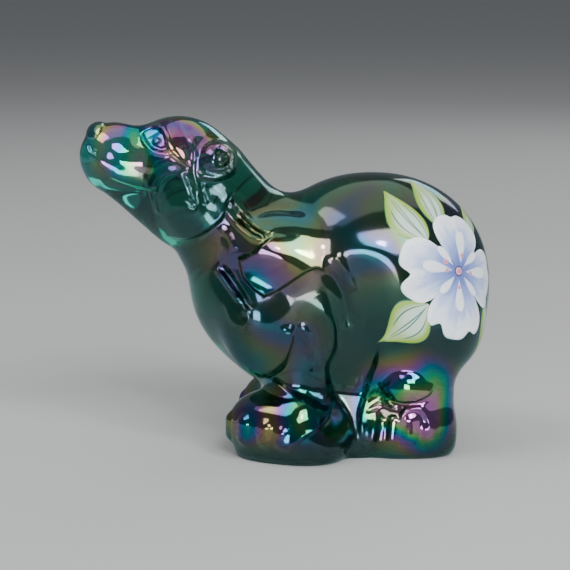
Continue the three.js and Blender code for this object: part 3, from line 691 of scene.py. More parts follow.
@dataclass(frozen=True)
class Net:
    """Grid that draws a shape's skin, finer along X over the front of the bear and along Z over the head's
    height. Ranges are in millimetres.
    """

    coarse: Vec3 = (0.46, 0.6, 0.46)
    fine: float = 0.34
    fine_ranges: tuple[tuple[Vec2, ...], ...] = (((-54.5, -14.0),), (), ((63.0, 90.5),))
    reach: tuple[Vec3, Vec3] = ((-58.0, -32.5, -2.0), (58.5, 32.5, 93.0))
    block: int = 4
    near_share: float = 0.75
    near_extra: float = 0.6
    batch: int = 400000

    def ticks(self, axis: int) -> Array:
        """Works out the places of the grid lines.

        Args:
            axis: Which axis they cross.

        Returns:
            Their places along it.
        """
        found = [self.reach[0][axis]]
        while found[-1] < self.reach[1][axis]:
            fine = any(low < found[-1] < high for low, high in self.fine_ranges[axis])
            found.append(found[-1] + (self.fine if fine else self.coarse[axis]))
        return np.array(found)

    def sample(self, shape: Shape, lines: list[Array]) -> Array:
        """Measures distances at the grid's points, closely only near the skin.

        Args:
            shape: The form to sample.
            lines: Grid lines along each axis.

        Returns:
            One value for each grid point.
        """
        counts = [len(v) for v in lines]
        starts = [np.arange(0, n, self.block) for n in counts]
        middles = [v[np.minimum(s + self.block // 2, len(v) - 1)] for v, s in zip(lines, starts)]
        grid = np.meshgrid(*middles, indexing="ij")
        values = shape.distance(*(g.ravel() for g in grid)).reshape(grid[0].shape)
        for axis in range(3):
            values = np.repeat(values, self.block, axis=axis)
        values = values[:counts[0], :counts[1], :counts[2]].copy()
        wide = [np.gradient(v) * self.block for v in middles]
        radius = np.sqrt(sum(np.max(w) ** 2 for w in wide)) / self.block
        i, j, k = np.nonzero(np.abs(values) < self.near_share * radius + self.near_extra)
        for part in np.array_split(np.arange(len(i)), max(1, len(i) // self.batch)):
            a, b, c = i[part], j[part], k[part]
            values[a, b, c] = shape.distance(lines[0][a], lines[1][b], lines[2][c])
        return values

    def draw(self, shape: Shape) -> tuple[Array, Array]:
        """Draws the skin with one point in each cell that it crosses.

        Args:
            shape: The form to draw.

        Returns:
            Points, and four-sided faces that face outwards.
        """
        lines = [self.ticks(axis) for axis in range(3)]
        values = self.sample(shape, lines)
        inside = values < 0
        cells = tuple(n - 1 for n in values.shape)
        total = np.zeros(cells + (3,))
        hits = np.zeros(cells)
        crossings = []
        for axis in range(3):
            low = tuple(slice(0, -1) if a == axis else slice(None) for a in range(3))
            high = tuple(slice(1, None) if a == axis else slice(None) for a in range(3))
            index = np.array(np.nonzero(inside[low] != inside[high]))
            upper = index.copy()
            upper[axis] += 1
            a, b = values[tuple(index)], values[tuple(upper)]
            place = np.stack([lines[n][index[n]] for n in range(3)], axis=1)
            place[:, axis] += a / (a - b) * (lines[axis][index[axis] + 1] - lines[axis][index[axis]])
            crossings.append((index, a < 0))
            first, second = [n for n in range(3) if n != axis]
            for down_first, down_second in product((0, 1), repeat=2):
                cell = index.copy()
                cell[first] -= down_first
                cell[second] -= down_second
                np.add.at(total, tuple(cell), place)
                np.add.at(hits, tuple(cell), 1)
        number = np.full(cells, -1)
        used = np.nonzero(hits)
        number[used] = np.arange(len(used[0]))
        points = total[used] / hits[used][:, None]
        faces = []
        for axis, (index, leaving) in enumerate(crossings):
            first, second = (axis + 1) % 3, (axis + 2) % 3
            ring = []
            for down_first, down_second in ((0, 0), (1, 0), (1, 1), (0, 1)):
                cell = index.copy()
                cell[first] -= down_first
                cell[second] -= down_second
                ring.append(number[tuple(cell)])
            quad = np.stack(ring, axis=1)
            faces.append(np.where(leaving[:, None], quad, quad[:, ::-1]))
        return points, np.concatenate(faces)


def outer_skin(points: Array, faces: Array) -> tuple[Array, Array]:
    """Drops small pockets that lie apart from the skin.

    Args:
        points: Points, one to a row.
        faces: Faces, one to a row.

    Returns:
        The points and faces of the largest skin.
    """
    label = np.arange(len(points))
    before = None
    while before is None or (label != before).any():
        before = label.copy()
        low = label[faces].min(axis=1)
        for corner in faces.T:
            np.minimum.at(label, corner, low)
        label = label[label]
    of_face = label[faces[:, 0]]
    kept = of_face == np.bincount(of_face).argmax()
    used, packed = np.unique(faces[kept], return_inverse=True)
    return points[used], packed.reshape(-1, faces.shape[1])


def to_mesh(name: str, points: Array, faces: Array) -> bpy.types.Object:
    """Makes a mesh object from points in millimetres.

    Args:
        name: The object's name.
        points: Points, one to a row.
        faces: Faces, one to a row.

    Returns:
        The object, smooth and in the scene.
    """
    mesh = bpy.data.meshes.new(name)
    mesh.from_pydata((points * MM).tolist(), [], faces.tolist())
    mesh.shade_smooth()
    mesh.validate()
    return place_in_scene(name, mesh)


def place_in_scene(name: str, data: bpy.types.ID) -> bpy.types.Object:
    """Makes an object of a mesh, a light or a camera, and puts it in the scene.

    Args:
        name: The object's name.
        data: What it shows.

    Returns:
        The object.
    """
    thing = bpy.data.objects.new(name, data)
    bpy.context.scene.collection.objects.link(thing)
    return thing


class Slot(Enum):
    """Names of material slots. The coats carry one, but no piece is given it here."""

    GLASS = "teal_glass"
    PETAL = "petal_enamel"
    LEAF = "leaf_enamel"


class Sheet:
    """Node sheet, with short calls to place and link nodes."""

    def __init__(self, tree: bpy.types.NodeTree) -> None:
        """Works on a node tree."""
        self.tree = tree

    def add(self, kind: str, inputs: dict | None = None, **settings: object) -> bpy.types.Node:
        """Adds a node.

        Args:
            kind: Blender's type name without ShaderNode.
            inputs: Values or sockets for its inputs, by name or number.
            settings: Properties of the node.

        Returns:
            The node.
        """
        node = self.tree.nodes.new("ShaderNode" + kind)
        for key, value in settings.items():
            setattr(node, key, value)
        for key, value in (inputs or {}).items():
            self.feed(node.inputs[key], value)
        return node

    def feed(self, socket: Socket, value: object) -> None:
        """Links a socket to an input, or sets the input's value.

        Args:
            socket: The input.
            value: A socket or a value.
        """
        if isinstance(value, Socket):
            self.tree.links.new(value, socket)
        else:
            socket.default_value = value

    def maths(self, operation: str, *values: object) -> Socket:
        """A sum of numbers or sockets, by Blender's operation name."""
        return self.add("Math", dict(enumerate(values)), operation=operation).outputs[0]

    def mix(self, factor: object, a: object, b: object) -> Socket:
        """A mix of two colours, which Blender keeps at inputs 6 and 7 of its node."""
        return self.add("Mix", {0: factor, 6: a, 7: b}, data_type="RGBA").outputs[2]

    def ramp(self, factor: object, stops: tuple[tuple[float, Vec3], ...]) -> Socket:
        """Adds a colour ramp that eases from colour to colour.

        Args:
            factor: What drives it, from 0 to 1.
            stops: Places and colours.

        Returns:
            The colour.
        """
        node = self.add("ValToRGB", {0: factor})
        node.color_ramp.interpolation = "EASE"
        while len(node.color_ramp.elements) < len(stops):
            node.color_ramp.elements.new(0.5)
        for element, (place, colour) in zip(node.color_ramp.elements, stops):
            element.position = place
            element.color = (*colour, 1.0)
        return node.outputs[0]


class GroupSheet(Sheet):
    """Sheet of a node group with named sockets."""

    def __init__(self, name: str, inputs: tuple[str, ...], outputs: tuple[str, ...]) -> None:
        """Makes the group.

        Args:
            name: The group's name.
            inputs: Names of its inputs. The one named Vector is a vector, and the others are numbers.
            outputs: Names of its outputs, all numbers.
        """
        super().__init__(bpy.data.node_groups.new(name, "ShaderNodeTree"))
        for socket in inputs:
            kind = "NodeSocketVector" if socket == "Vector" else "NodeSocketFloat"
            self.tree.interface.new_socket(socket, in_out="INPUT", socket_type=kind)
        for socket in outputs:
            self.tree.interface.new_socket(socket, in_out="OUTPUT", socket_type="NodeSocketFloat")
        self.given = self.tree.nodes.new("NodeGroupInput").outputs
        self.made = self.tree.nodes.new("NodeGroupOutput").inputs


@cache
def grain_tree() -> bpy.types.NodeTree:
    """Builds the node group that lets a skin's roughness drift a little, as glass and enamel do.

    Returns:
        The group, with sockets Vector, Scale, Low and Swing in, and Roughness out.
    """
    sheet = GroupSheet("grain", ("Vector", "Scale", "Low", "Swing"), ("Roughness",))
    given = sheet.given
    noise = sheet.add("TexNoise", {"Vector": given["Vector"], "Scale": given["Scale"], "Detail": 3.0})
    rough = sheet.maths("MULTIPLY_ADD", noise.outputs["Fac"], given["Swing"], given["Low"])
    sheet.feed(sheet.made["Roughness"], rough)
    return sheet.tree


@cache
def brush_tree() -> bpy.types.NodeTree:
    """Builds the node group for the marks that a brush leaves in paint.

    Returns:
        The group, with sockets Vector, Along and Streak in, and Hair and Drift out. Hair is the fine marks,
        from 0 to 1. Drift is Along, moved by fine and by broad marks, each by up to half of Streak.
    """
    sheet = GroupSheet("brush", ("Vector", "Along", "Streak"), ("Hair", "Drift"))
    drift = sheet.given["Along"]
    marks = []
    for stretch, detail, roughness in (((16.0, 1.6, 1.0), 4.0, 0.6), ((4.0, 1.2, 1.0), 2.0, 0.5)):
        spot = sheet.add("Mapping", {"Vector": sheet.given["Vector"], "Scale": stretch})
        noise = {"Vector": spot.outputs[0], "Scale": 1.0, "Detail": detail, "Roughness": roughness}
        marks.append(sheet.add("TexNoise", noise).outputs["Fac"])
        off = sheet.maths("SUBTRACT", marks[-1], 0.5)
        drift = sheet.maths("MULTIPLY_ADD", off, sheet.given["Streak"], drift)
    sheet.feed(sheet.made["Hair"], marks[0])
    sheet.feed(sheet.made["Drift"], drift)
    return sheet.tree


class MaterialSheet(Sheet):
    """Sheet of a material, with the shader that the material starts with."""

    def __init__(self, name: str) -> None:
        """Makes the material.

        Args:
            name: The material's name.
        """
        self.material = bpy.data.materials.new(name)
        self.material.use_nodes = True
        super().__init__(self.material.node_tree)

    def dress(self, values: dict[str, object]) -> None:
        """Feeds values or sockets to the shader's inputs by name."""
        for name, value in values.items():
            self.feed(self.tree.nodes["Principled BSDF"].inputs[name], value)

    def grain(self, place: object, scale: float, low: object, swing: float) -> Socket:
        """Roughness from low to low + swing, by the shared grain group."""
        values = {"Vector": place, "Scale": scale, "Low": low, "Swing": swing}
        return self.add("Group", values, node_tree=grain_tree()).outputs["Roughness"]


@dataclass(frozen=True)
class Glow:
    """Rounded area, in metres, where the lustre is strong and painted sheen bands tint the base colour.
    Thinner is in nanometres.
    """

    centre: Vec3
    radii: Vec3
    strength: float = 1.0
    thinner: float = 85.0


@dataclass(frozen=True)
class GlassFinish:
    """Deep emerald-teal glass with a rainbow lustre fired on its skin, strongest on head and paws.

    The lustre is a film of film_thin to film_thin + film_swing nanometres. Its index is strong_film in the
    glows and weak_film away from them. In the glows, painted sheen bands of rainbow colour are also mixed
    into the base colour, in place of the lustre's reflected colours.
    """

    tint: Vec3 = (0.02, 0.74, 0.67)
    density: float = 240.0
    index: float = 1.52
    metal: float = 0.04
    body: Vec3 = (0.18, 0.66, 0.64)
    gleam: Vec3 = (0.58, 0.86, 0.95)
    body_roughness: float = 0.11
    bright_roughness: float = 0.035
    grain_scale: float = 120.0
    grain_swing: float = 0.03
    weak_film: float = 1.55
    strong_film: float = 2.5
    film_thin: float = 95.0
    film_swing: float = 440.0
    cloud_scale: float = 42.0
    cloud_detail: float = 1.5
    cloud_distortion: float = 0.6
    # Painted sheen: rainbow colours of the lustre's reflections, mixed into the base colour
    painted_sheen_count: float = 2.6
    painted_sheen_strength: float = 0.45
    painted_sheen_bands: tuple[tuple[float, Vec3], ...] = (
        (0.0, (0.62, 0.30, 0.62)), (0.3, (0.78, 0.62, 0.30)), (0.55, (0.30, 0.70, 0.45)),
        (0.8, (0.25, 0.48, 0.78)), (1.0, (0.62, 0.30, 0.62)))
    glow_edge: float = 1.25
    glow_core: float = 0.55
    glows: tuple[Glow, ...] = (
        Glow((-0.036, 0.0, 0.089), (0.026, 0.03, 0.015), thinner=130.0),
        Glow((0.032, 0.0, 0.016), (0.015, 0.05, 0.015)),
        Glow((-0.006, 0.0, 0.013), (0.018, 0.06, 0.009), 0.6),
        Glow((-0.004, 0.0, 0.056), (0.020, 0.06, 0.014), 0.45),
        Glow((-0.002, 0.0, 0.033), (0.013, 0.05, 0.016), 0.2),
        Glow((0.030, 0.0, 0.062), (0.030, 0.06, 0.020), 0.2))

    def lustre(self, sheet: Sheet, place: Socket) -> tuple[Socket, Socket]:
        """Works out the lustre over the skin, which also sets how strong the painted sheen is.

        Args:
            sheet: The material's sheet.
            place: Place on the skin.

        Returns:
            Its strength from 0 to 1, and how much thinner it is, in nanometres.
        """
        total: Socket | float = 0.0
        thinner: Socket | float = 0.0
        for glow in self.glows:
            moved = sheet.add("Mapping", {"Vector": place, "Location": glow.centre, "Scale": glow.radii},
                              vector_type="TEXTURE")
            length = sheet.add("VectorMath", {0: moved.outputs[0]}, operation="LENGTH").outputs["Value"]
            span = {"Value": length, "From Min": self.glow_edge, "From Max": self.glow_core, "To Min": 0.0,
                    "To Max": glow.strength}
            part = sheet.add("MapRange", span, interpolation_type="SMOOTHSTEP").outputs[0]
            total = sheet.maths("MAXIMUM", part, total)
            thinner = sheet.maths("MULTIPLY_ADD", part, glow.thinner, thinner)
        return total, thinner

    def material(self) -> bpy.types.Material:
        """Builds the glass.

        Returns:
            The material.
        """
        sheet = MaterialSheet("teal_glass")
        place = sheet.add("TexCoord").outputs["Object"]
        lustre, thinner = self.lustre(sheet, place)
        noise = {"Vector": place, "Scale": self.cloud_scale, "Detail": self.cloud_detail,
                 "Distortion": self.cloud_distortion}
        cloud = sheet.add("TexNoise", noise).outputs["Fac"]
        thick = sheet.maths("MULTIPLY_ADD", cloud, self.film_swing, self.film_thin)
        # Painted sheen: rainbow bands in the base colour, strongest in the glows, stand in for the lustre's
        # reflections
        painted_sheen_bands = sheet.ramp(sheet.maths("FRACT", sheet.maths("MULTIPLY", cloud, self.painted_sheen_count)), self.painted_sheen_bands)
        painted_sheen_share = sheet.maths("MULTIPLY", lustre, self.painted_sheen_strength)
        smooth = sheet.maths("MULTIPLY_ADD", lustre, self.bright_roughness - self.body_roughness,
                             self.body_roughness)
        sheet.dress({
            "Transmission Weight": 1.0,
            "IOR": self.index,
            "Metallic": self.metal,
            "Specular Tint": (*self.gleam, 1),
            "Thin Film Thickness": sheet.maths("SUBTRACT", thick, thinner),
            "Thin Film IOR": sheet.maths("MULTIPLY_ADD", lustre, self.strong_film - self.weak_film,
                                         self.weak_film),
            "Base Color": sheet.mix(painted_sheen_share, (*self.body, 1), painted_sheen_bands),
            "Roughness": sheet.grain(place, self.grain_scale, smooth, self.grain_swing)})
        fog = sheet.add("VolumeAbsorption", {"Color": (*self.tint, 1), "Density": self.density})
        sheet.feed(sheet.tree.nodes["Material Output"].inputs["Volume"], fog.outputs[0])
        return sheet.material


@dataclass(frozen=True)
class FloorFinish:
    """Plain pale floor."""

    colour: Vec3 = (0.50, 0.50, 0.49)
    roughness: float = 0.75

    def material(self) -> bpy.types.Material:
        """Builds the floor's finish.

        Returns:
            The material.
        """
        sheet = MaterialSheet("floor")
        sheet.dress({"Base Color": (*self.colour, 1), "Roughness": self.roughness})
        return sheet.material


@dataclass
class Bear:
    """The glass bear: draws its skin and dresses it. Lengths are in millimetres, and shift is in metres."""

    shape: Shape = Shape()
    net: Net = Net()
    finish: GlassFinish = GlassFinish()
    most_triangles: int = 190000
    ground_band: float = 0.05
    shift: Vector = field(default_factory=Vector)

    def build(self) -> bpy.types.Object:
        """Builds the bear in its frame.

        Returns:
            The bear.
        """
        points, faces = outer_skin(*self.net.draw(self.shape))
        points = self.shape.settle(points)
        points[:, 2] = np.maximum(points[:, 2], 0.0)
        piece = to_mesh("glass_bear", points, faces)
        triangles = 2 * len(faces)
        if triangles > self.most_triangles:
            self.thin(piece, self.most_triangles / triangles)
        self.polish(piece.data)
        self.centre(piece.data)
        piece.data.materials.append(self.finish.material())
        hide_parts("polar_bear")
        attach(piece, "root")
        return piece

    def thin(self, piece: bpy.types.Object, ratio: float) -> None:
        """Closes the edges that matter least.

        Args:
            piece: The bear.
            ratio: The share of the triangles that is kept.
        """
        piece.modifiers.new("thin", "DECIMATE").ratio = ratio
        graph = bpy.context.evaluated_depsgraph_get()
        mesh = bpy.data.meshes.new_from_object(piece.evaluated_get(graph))
        piece.modifiers.clear()
        piece.data = mesh

    def polish(self, mesh: bpy.types.Mesh) -> None:
        """Settles the thinned points on the form and takes the normals from it.

        Args:
            mesh: The bear's mesh.
        """
        points = np.array([v.co for v in mesh.vertices]) / MM
        free = points[:, 2] > self.ground_band
        points[free] = self.shape.settle(points[free], rounds=2, limit=0.15)
        points[:, 2] = np.maximum(points[:, 2], 0.0)
        mesh.vertices.foreach_set("co", (points * MM).ravel())
        normals = self.shape.normals(points)
        normals[~free & (normals[:, 2] < 0)] = (0, 0, -1)
        mesh.normals_split_custom_set_from_vertices(normals.tolist())
        mesh.update()

    def centre(self, mesh: bpy.types.Mesh) -> None:
        """Moves the mesh so that its box shares its middle in X and Y with the solid's.

        Args:
            mesh: The bear's mesh.
        """
        low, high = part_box("polar_bear")
        corners = np.array([v.co for v in mesh.vertices])
        middle = (corners.min(axis=0) + corners.max(axis=0)) / 2
        self.shift = Vector(((low[0] + high[0]) / 2 - middle[0], (low[1] + high[1]) / 2 - middle[1], 0))
        mesh.transform(Matrix.Translation(self.shift))


@dataclass
class Flank:
    """Flat map of the skin round one point, on which the decoration is laid out.

    U runs towards the rump and v up, in millimetres along the skin.
    """

    shape: Shape
    middle: Vec3 = (45.2, -19.3, 50.6)
    reach: float = 36.0
    step: float = 1.5
    headings: int = 96

    def __post_init__(self) -> None:
        """Walks straight out from the middle in every direction."""
        smooth = self.shape.uncarved()
        start = smooth.settle(np.array([self.middle]), rounds=4)
        normal = smooth.normals(start)[0]
        v = np.array((0, 0, 1.0)) - normal * normal[2]
        v /= np.linalg.norm(v)
        u = np.cross(v, normal)
        angle = np.linspace(0, 2 * math.pi, self.headings, endpoint=False)[:, None]
        heading = np.cos(angle) * u + np.sin(angle) * v
        at = np.repeat(start, self.headings, axis=0)
        rings = [at]
        for _ in range(int(self.reach / self.step)):
            before = at
            at = smooth.settle(at + heading * self.step, rounds=2, limit=0.8)
            normals = smooth.normals(at)
            heading = at - before
            heading = heading - normals * (heading * normals).sum(axis=1)[:, None]
            heading = heading / np.linalg.norm(heading, axis=1)[:, None]
            rings.append(at)
        self.rings = np.stack(rings)

    def place(self, uv: Array) -> Array:
        """Finds the points of the skin under places of the flat map.

        Args:
            uv: Places on the map, one to a row.

        Returns:
            Points close to the skin, one to a row.
        """
        ring = np.clip(np.hypot(uv[:, 0], uv[:, 1]) / self.step, 0, len(self.rings) - 1.001)
        turn = (np.arctan2(uv[:, 1], uv[:, 0]) / (2 * math.pi) % 1.0) * self.headings
        i, j = ring.astype(int), turn.astype(int) % self.headings
        k = (j + 1) % self.headings
        a, b = (ring - i)[:, None], (turn - np.floor(turn))[:, None]
        near = self.rings[i, j] * (1 - b) + self.rings[i, k] * b
        far = self.rings[i + 1, j] * (1 - b) + self.rings[i + 1, k] * b
        return near * (1 - a) + far * a


@dataclass(frozen=True)
class Dab:
    """One touch of enamel, drawn as a net of points across and along it."""

    across: int = 17
    along: int = 22
    rim_from: float = 0.999

    def net(self) -> tuple[Array, Array]:
        """Places over the dab: from -1 to 1 across, and from 0 to 1 along."""
        w, t = np.meshgrid(np.linspace(-1, 1, self.across), np.linspace(0, 1, self.along), indexing="ij")
        return w.ravel(), t.ravel()

    def rim(self, w: Array, t: Array) -> Array:
        """Which places lie on the dab's rim."""
        return (np.abs(w) > self.rim_from) | (t < 1 - self.rim_from) | (t > self.rim_from)

    def spread(self, w: Array, t: Array) -> Array:
        """Places on the flank's map, one to a row."""
        raise NotImplementedError


@dataclass(frozen=True)
class Petal(Dab):
    """Broad petal that fans out from the blossom's middle, with soft notches in its rim."""

    heading: float = 0.0
    half_angle: float = 46.0
    length: float = 16.0
    notches: tuple[Vec2, ...] = ()
    across: int = 37
    along: int = 26
    root: float = 1.2
    squareness: float = 4.5
    notch_width: float = 0.13
    least: float = 0.02

    def spread(self, w: Array, t: Array) -> Array:
        """Lays the petal out.

        Args:
            w: Places across it.
            t: Places along it.

        Returns:
            Places on the flank's map, one to a row.
        """
        rim = (1 - np.abs(w) ** self.squareness) ** 0.5
        for place, depth in self.notches:
            rim = rim * (1 - depth * np.exp(-((w - place) / self.notch_width) ** 2))
        radius = self.root + (self.length - self.root) * t * np.maximum(rim, self.least)
        angle = np.radians(self.heading + self.half_angle * w)
        return np.stack([radius * np.cos(angle), radius * np.sin(angle)], axis=1)


@dataclass(frozen=True)
class Dot(Dab):
    """Round touch of the brush's tip."""

    middle: Vec2 = (0, 0)
    radius: float = 0.8
    along: int = 6

    def rim(self, w: Array, t: Array) -> Array:
        """Which places lie on the dab's rim."""
        return t > self.rim_from

    def spread(self, w: Array, t: Array) -> Array:
        """Places on the flank's map, one to a row."""
        ring = np.stack([np.cos(math.pi * w), np.sin(math.pi * w)], axis=1)
        return np.array(self.middle) + (self.radius * t)[:, None] * ring


@dataclass(frozen=True)
class Blade(Dab):
    """Leaf or stamen: a bent stroke of the brush, widest at its belly."""

    base: Vec2 = (0, 0)
    tip: Vec2 = (0, 10)
    width: float = 6.0
    belly: float = 0.45
    sharp: float = 1.1
    bend: float = 0.0
    lean: float = 0.0

    def spread(self, w: Array, t: Array) -> Array:
        """Lays the blade out.

        Args:
            w: Places across it.
            t: Places along it.

        Returns:
            Places on the flank's map, one to a row.
        """
        base, tip = np.array(self.base), np.array(self.tip)
        run = tip - base
        side = np.array((-run[1], run[0])) / np.linalg.norm(run)
        power = math.log(0.5) / math.log(self.belly)
        half = self.width / 2 * np.sin(math.pi * t ** power) ** self.sharp * (1 + self.lean * w)
        middle = base + run * t[:, None] + side * (self.bend * np.sin(math.pi * t))[:, None]
        return middle + side * (w * half)[:, None]


PETALS = (
    Petal(heading=77, half_angle=47, length=16.4, notches=((0.1, 0.07), (-0.55, 0.04))),
    Petal(heading=172, half_angle=47, length=18.0, notches=((0.12, 0.2), (0.62, 0.05))),
    Petal(heading=257, half_angle=46, length=18.6, notches=((-0.42, 0.17), (0.36, 0.12))),
    Petal(heading=346, half_angle=47, length=16.2, notches=((0.3, 0.08), (-0.4, 0.08))),
)
STAMENS = (
    Blade(base=(0.7, 2.0), tip=(3.1, 10.9), width=3.7, belly=0.70, sharp=0.55),
    Blade(base=(-1.7, 1.6), tip=(-5.8, 7.2), width=2.5, belly=0.68, sharp=0.6),
    Blade(base=(-2.2, 0.4), tip=(-11.2, 2.9), width=3.7, belly=0.70, sharp=0.55),
    Blade(base=(-1.7, -1.2), tip=(-7.0, -5.2), width=2.5, belly=0.68, sharp=0.6),
    Blade(base=(-0.4, -2.0), tip=(-2.1, -10.9), width=3.2, belly=0.72, sharp=0.55),
    Blade(base=(1.3, -1.6), tip=(5.0, -7.2), width=2.4, belly=0.68, sharp=0.6),
    Blade(base=(2.0, -0.3), tip=(11.4, -1.5), width=3.5, belly=0.70, sharp=0.55),
    Blade(base=(1.8, 1.2), tip=(7.6, 4.3), width=2.5, belly=0.68, sharp=0.6),
)
LEAVES = (
    Blade(base=(-3.4, 12.5), tip=(-2.2, 30.8), width=9.0, belly=0.40, bend=-0.9, lean=0.15),
    Blade(base=(-8.2, 9.0), tip=(-14.4, 27.0), width=10.4, belly=0.38, bend=1.6, lean=0.15),
    Blade(base=(-10.4, -7.4), tip=(-25.8, -16.4), width=12.4, belly=0.38, sharp=1.8, bend=1.0),
    Blade(base=(7.6, 9.0), tip=(13.4, 19.5), width=5.6, belly=0.45, bend=-0.6),
    Blade(base=(10.4, -9.0), tip=(9.6, -24.2), width=8.0, belly=0.42, bend=1.2),
)
POLLEN = (
    Dot(middle=(0.0, 0.0), radius=1.15),
    Dot(middle=(-4.1, 2.9)),
    Dot(middle=(-4.0, 0.6), radius=0.7),
    Dot(middle=(1.6, 4.0)),
    Dot(middle=(4.1, -0.9), radius=0.7),
    Dot(middle=(-1.0, -4.3), radius=0.65),
)


@dataclass(frozen=True)
class EnamelFinish:
    """Hand-brushed enamel. Its colours run along and across each touch of the brush, from 0 to 1.

    The edge's colour sets in at edge_from. Where there is a vein colour, it draws ribs that lean by rib_lean
    and stop short of the tip. The ridges' height is in metres.
    """

    name: str
    colours: tuple[tuple[float, Vec3], ...]
    edge: Vec3
    edge_from: float
    edge_strength: float
    streak: float
    vein: Vec3 | None = None
    edge_even: float = 0.6
    edge_streak: float = 0.8
    rib_lean: float = -0.16
    rib_spacing: float = 0.23
    rib_width: float = 0.028
    rib_end: float = 0.82
    rib_end_slope: float = 0.35
    low_roughness: float = 0.26
    grain_swing: float = 0.2
    grain_scale: float = 260.0
    ridge_strength: float = 0.12
    ridge: float = 0.0002

    def ribs(self, sheet: Sheet, across: Socket, along: Socket) -> Socket:
        """Works out where the veins lie.

        Args:
            sheet: The material's sheet.
            across: Distance from the middle line, from 0 to 1.
            along: Place along the touch of the brush.

        Returns:
            1 on a vein, 0 elsewhere.
        """
        leaning = sheet.maths("MULTIPLY_ADD", along, self.rib_lean, across)
        lines = sheet.maths("PINGPONG", leaning, self.rib_spacing)
        thin = sheet.maths("LESS_THAN", lines, self.rib_width)
        end = sheet.maths("MULTIPLY_ADD", across, self.rib_end_slope, along)
        return sheet.maths("MULTIPLY", thin, sheet.maths("LESS_THAN", end, self.rib_end))

    def material(self) -> bpy.types.Material:
        """Builds the enamel.

        Returns:
            The material.
        """
        sheet = MaterialSheet(self.name)
        spot = sheet.add("UVMap", uv_map="brush").outputs[0]
        sideways, along, _ = sheet.add("SeparateXYZ", {0: spot}).outputs
        across = sheet.maths("ABSOLUTE", sheet.maths("MULTIPLY_ADD", sideways, 2.0, -1.0))
        brush = {"Vector": spot, "Along": along, "Streak": self.streak}
        marks = sheet.add("Group", brush, node_tree=brush_tree()).outputs
        span = {"Value": across, "From Min": self.edge_from, "From Max": 1.0, "To Min": 0.0,
                "To Max": self.edge_strength}
        rim = sheet.add("MapRange", span).outputs[0]
        streaked = sheet.maths("MULTIPLY_ADD", marks["Hair"], self.edge_streak, self.edge_even)
        colour = sheet.ramp(marks["Drift"], self.colours)
        colour = sheet.mix(sheet.maths("MULTIPLY", rim, streaked), colour, (*self.edge, 1))
        if self.vein:
            colour = sheet.mix(self.ribs(sheet, across, along), colour, (*self.vein, 1))
        ridges = {"Height": marks["Hair"], "Strength": self.ridge_strength, "Distance": self.ridge}
        place = sheet.add("TexCoord").outputs["Object"]
        sheet.dress({
            "Base Color": colour,
            "Roughness": sheet.grain(place, self.grain_scale, self.low_roughness, self.grain_swing),
            "Normal": sheet.add("Bump", ridges).outputs[0]})
        return sheet.material


PETAL_WHITE = EnamelFinish(
    "petal_enamel",
    ((0.0, (0.12, 0.17, 0.50)), (0.3, (0.25, 0.33, 0.68)), (0.56, (0.46, 0.56, 0.86)),
     (0.80, (0.78, 0.85, 0.97)), (1.0, (0.95, 0.97, 1.0))),
    edge=(0.22, 0.30, 0.62), edge_from=0.84, edge_strength=0.75, streak=0.55)
STAMEN_WHITE = EnamelFinish(
    "stamen_enamel",
    ((0.0, (0.55, 0.62, 0.82)), (0.35, (0.82, 0.86, 0.95)), (1.0, (0.95, 0.96, 0.99))),
    edge=(0.42, 0.50, 0.76), edge_from=0.62, edge_strength=0.75, streak=0.3)
LEAF_GREEN = EnamelFinish(
    "leaf_enamel",
    ((0.0, (0.50, 0.65, 0.52)), (0.40, (0.54, 0.69, 0.57)), (0.70, (0.38, 0.54, 0.22)),
     (1.0, (0.26, 0.40, 0.06))),
    edge=(0.26, 0.43, 0.05), edge_from=0.40, edge_strength=1.5, streak=0.36, vein=(0.02, 0.13, 0.11))
POLLEN_PINK = EnamelFinish(
    "pollen_enamel",
    ((0.0, (0.62, 0.22, 0.36)), (1.0, (0.74, 0.38, 0.50))),
    edge=(0.60, 0.24, 0.38), edge_from=0.7, edge_strength=0.3, streak=0.2)


@dataclass(frozen=True)
class Coat:
    """Touches of the brush in one enamel. Its height above the glass is in millimetres."""

    name: str
    dabs: tuple[Dab, ...]
    height: float
    finish: EnamelFinish
    slot: Slot


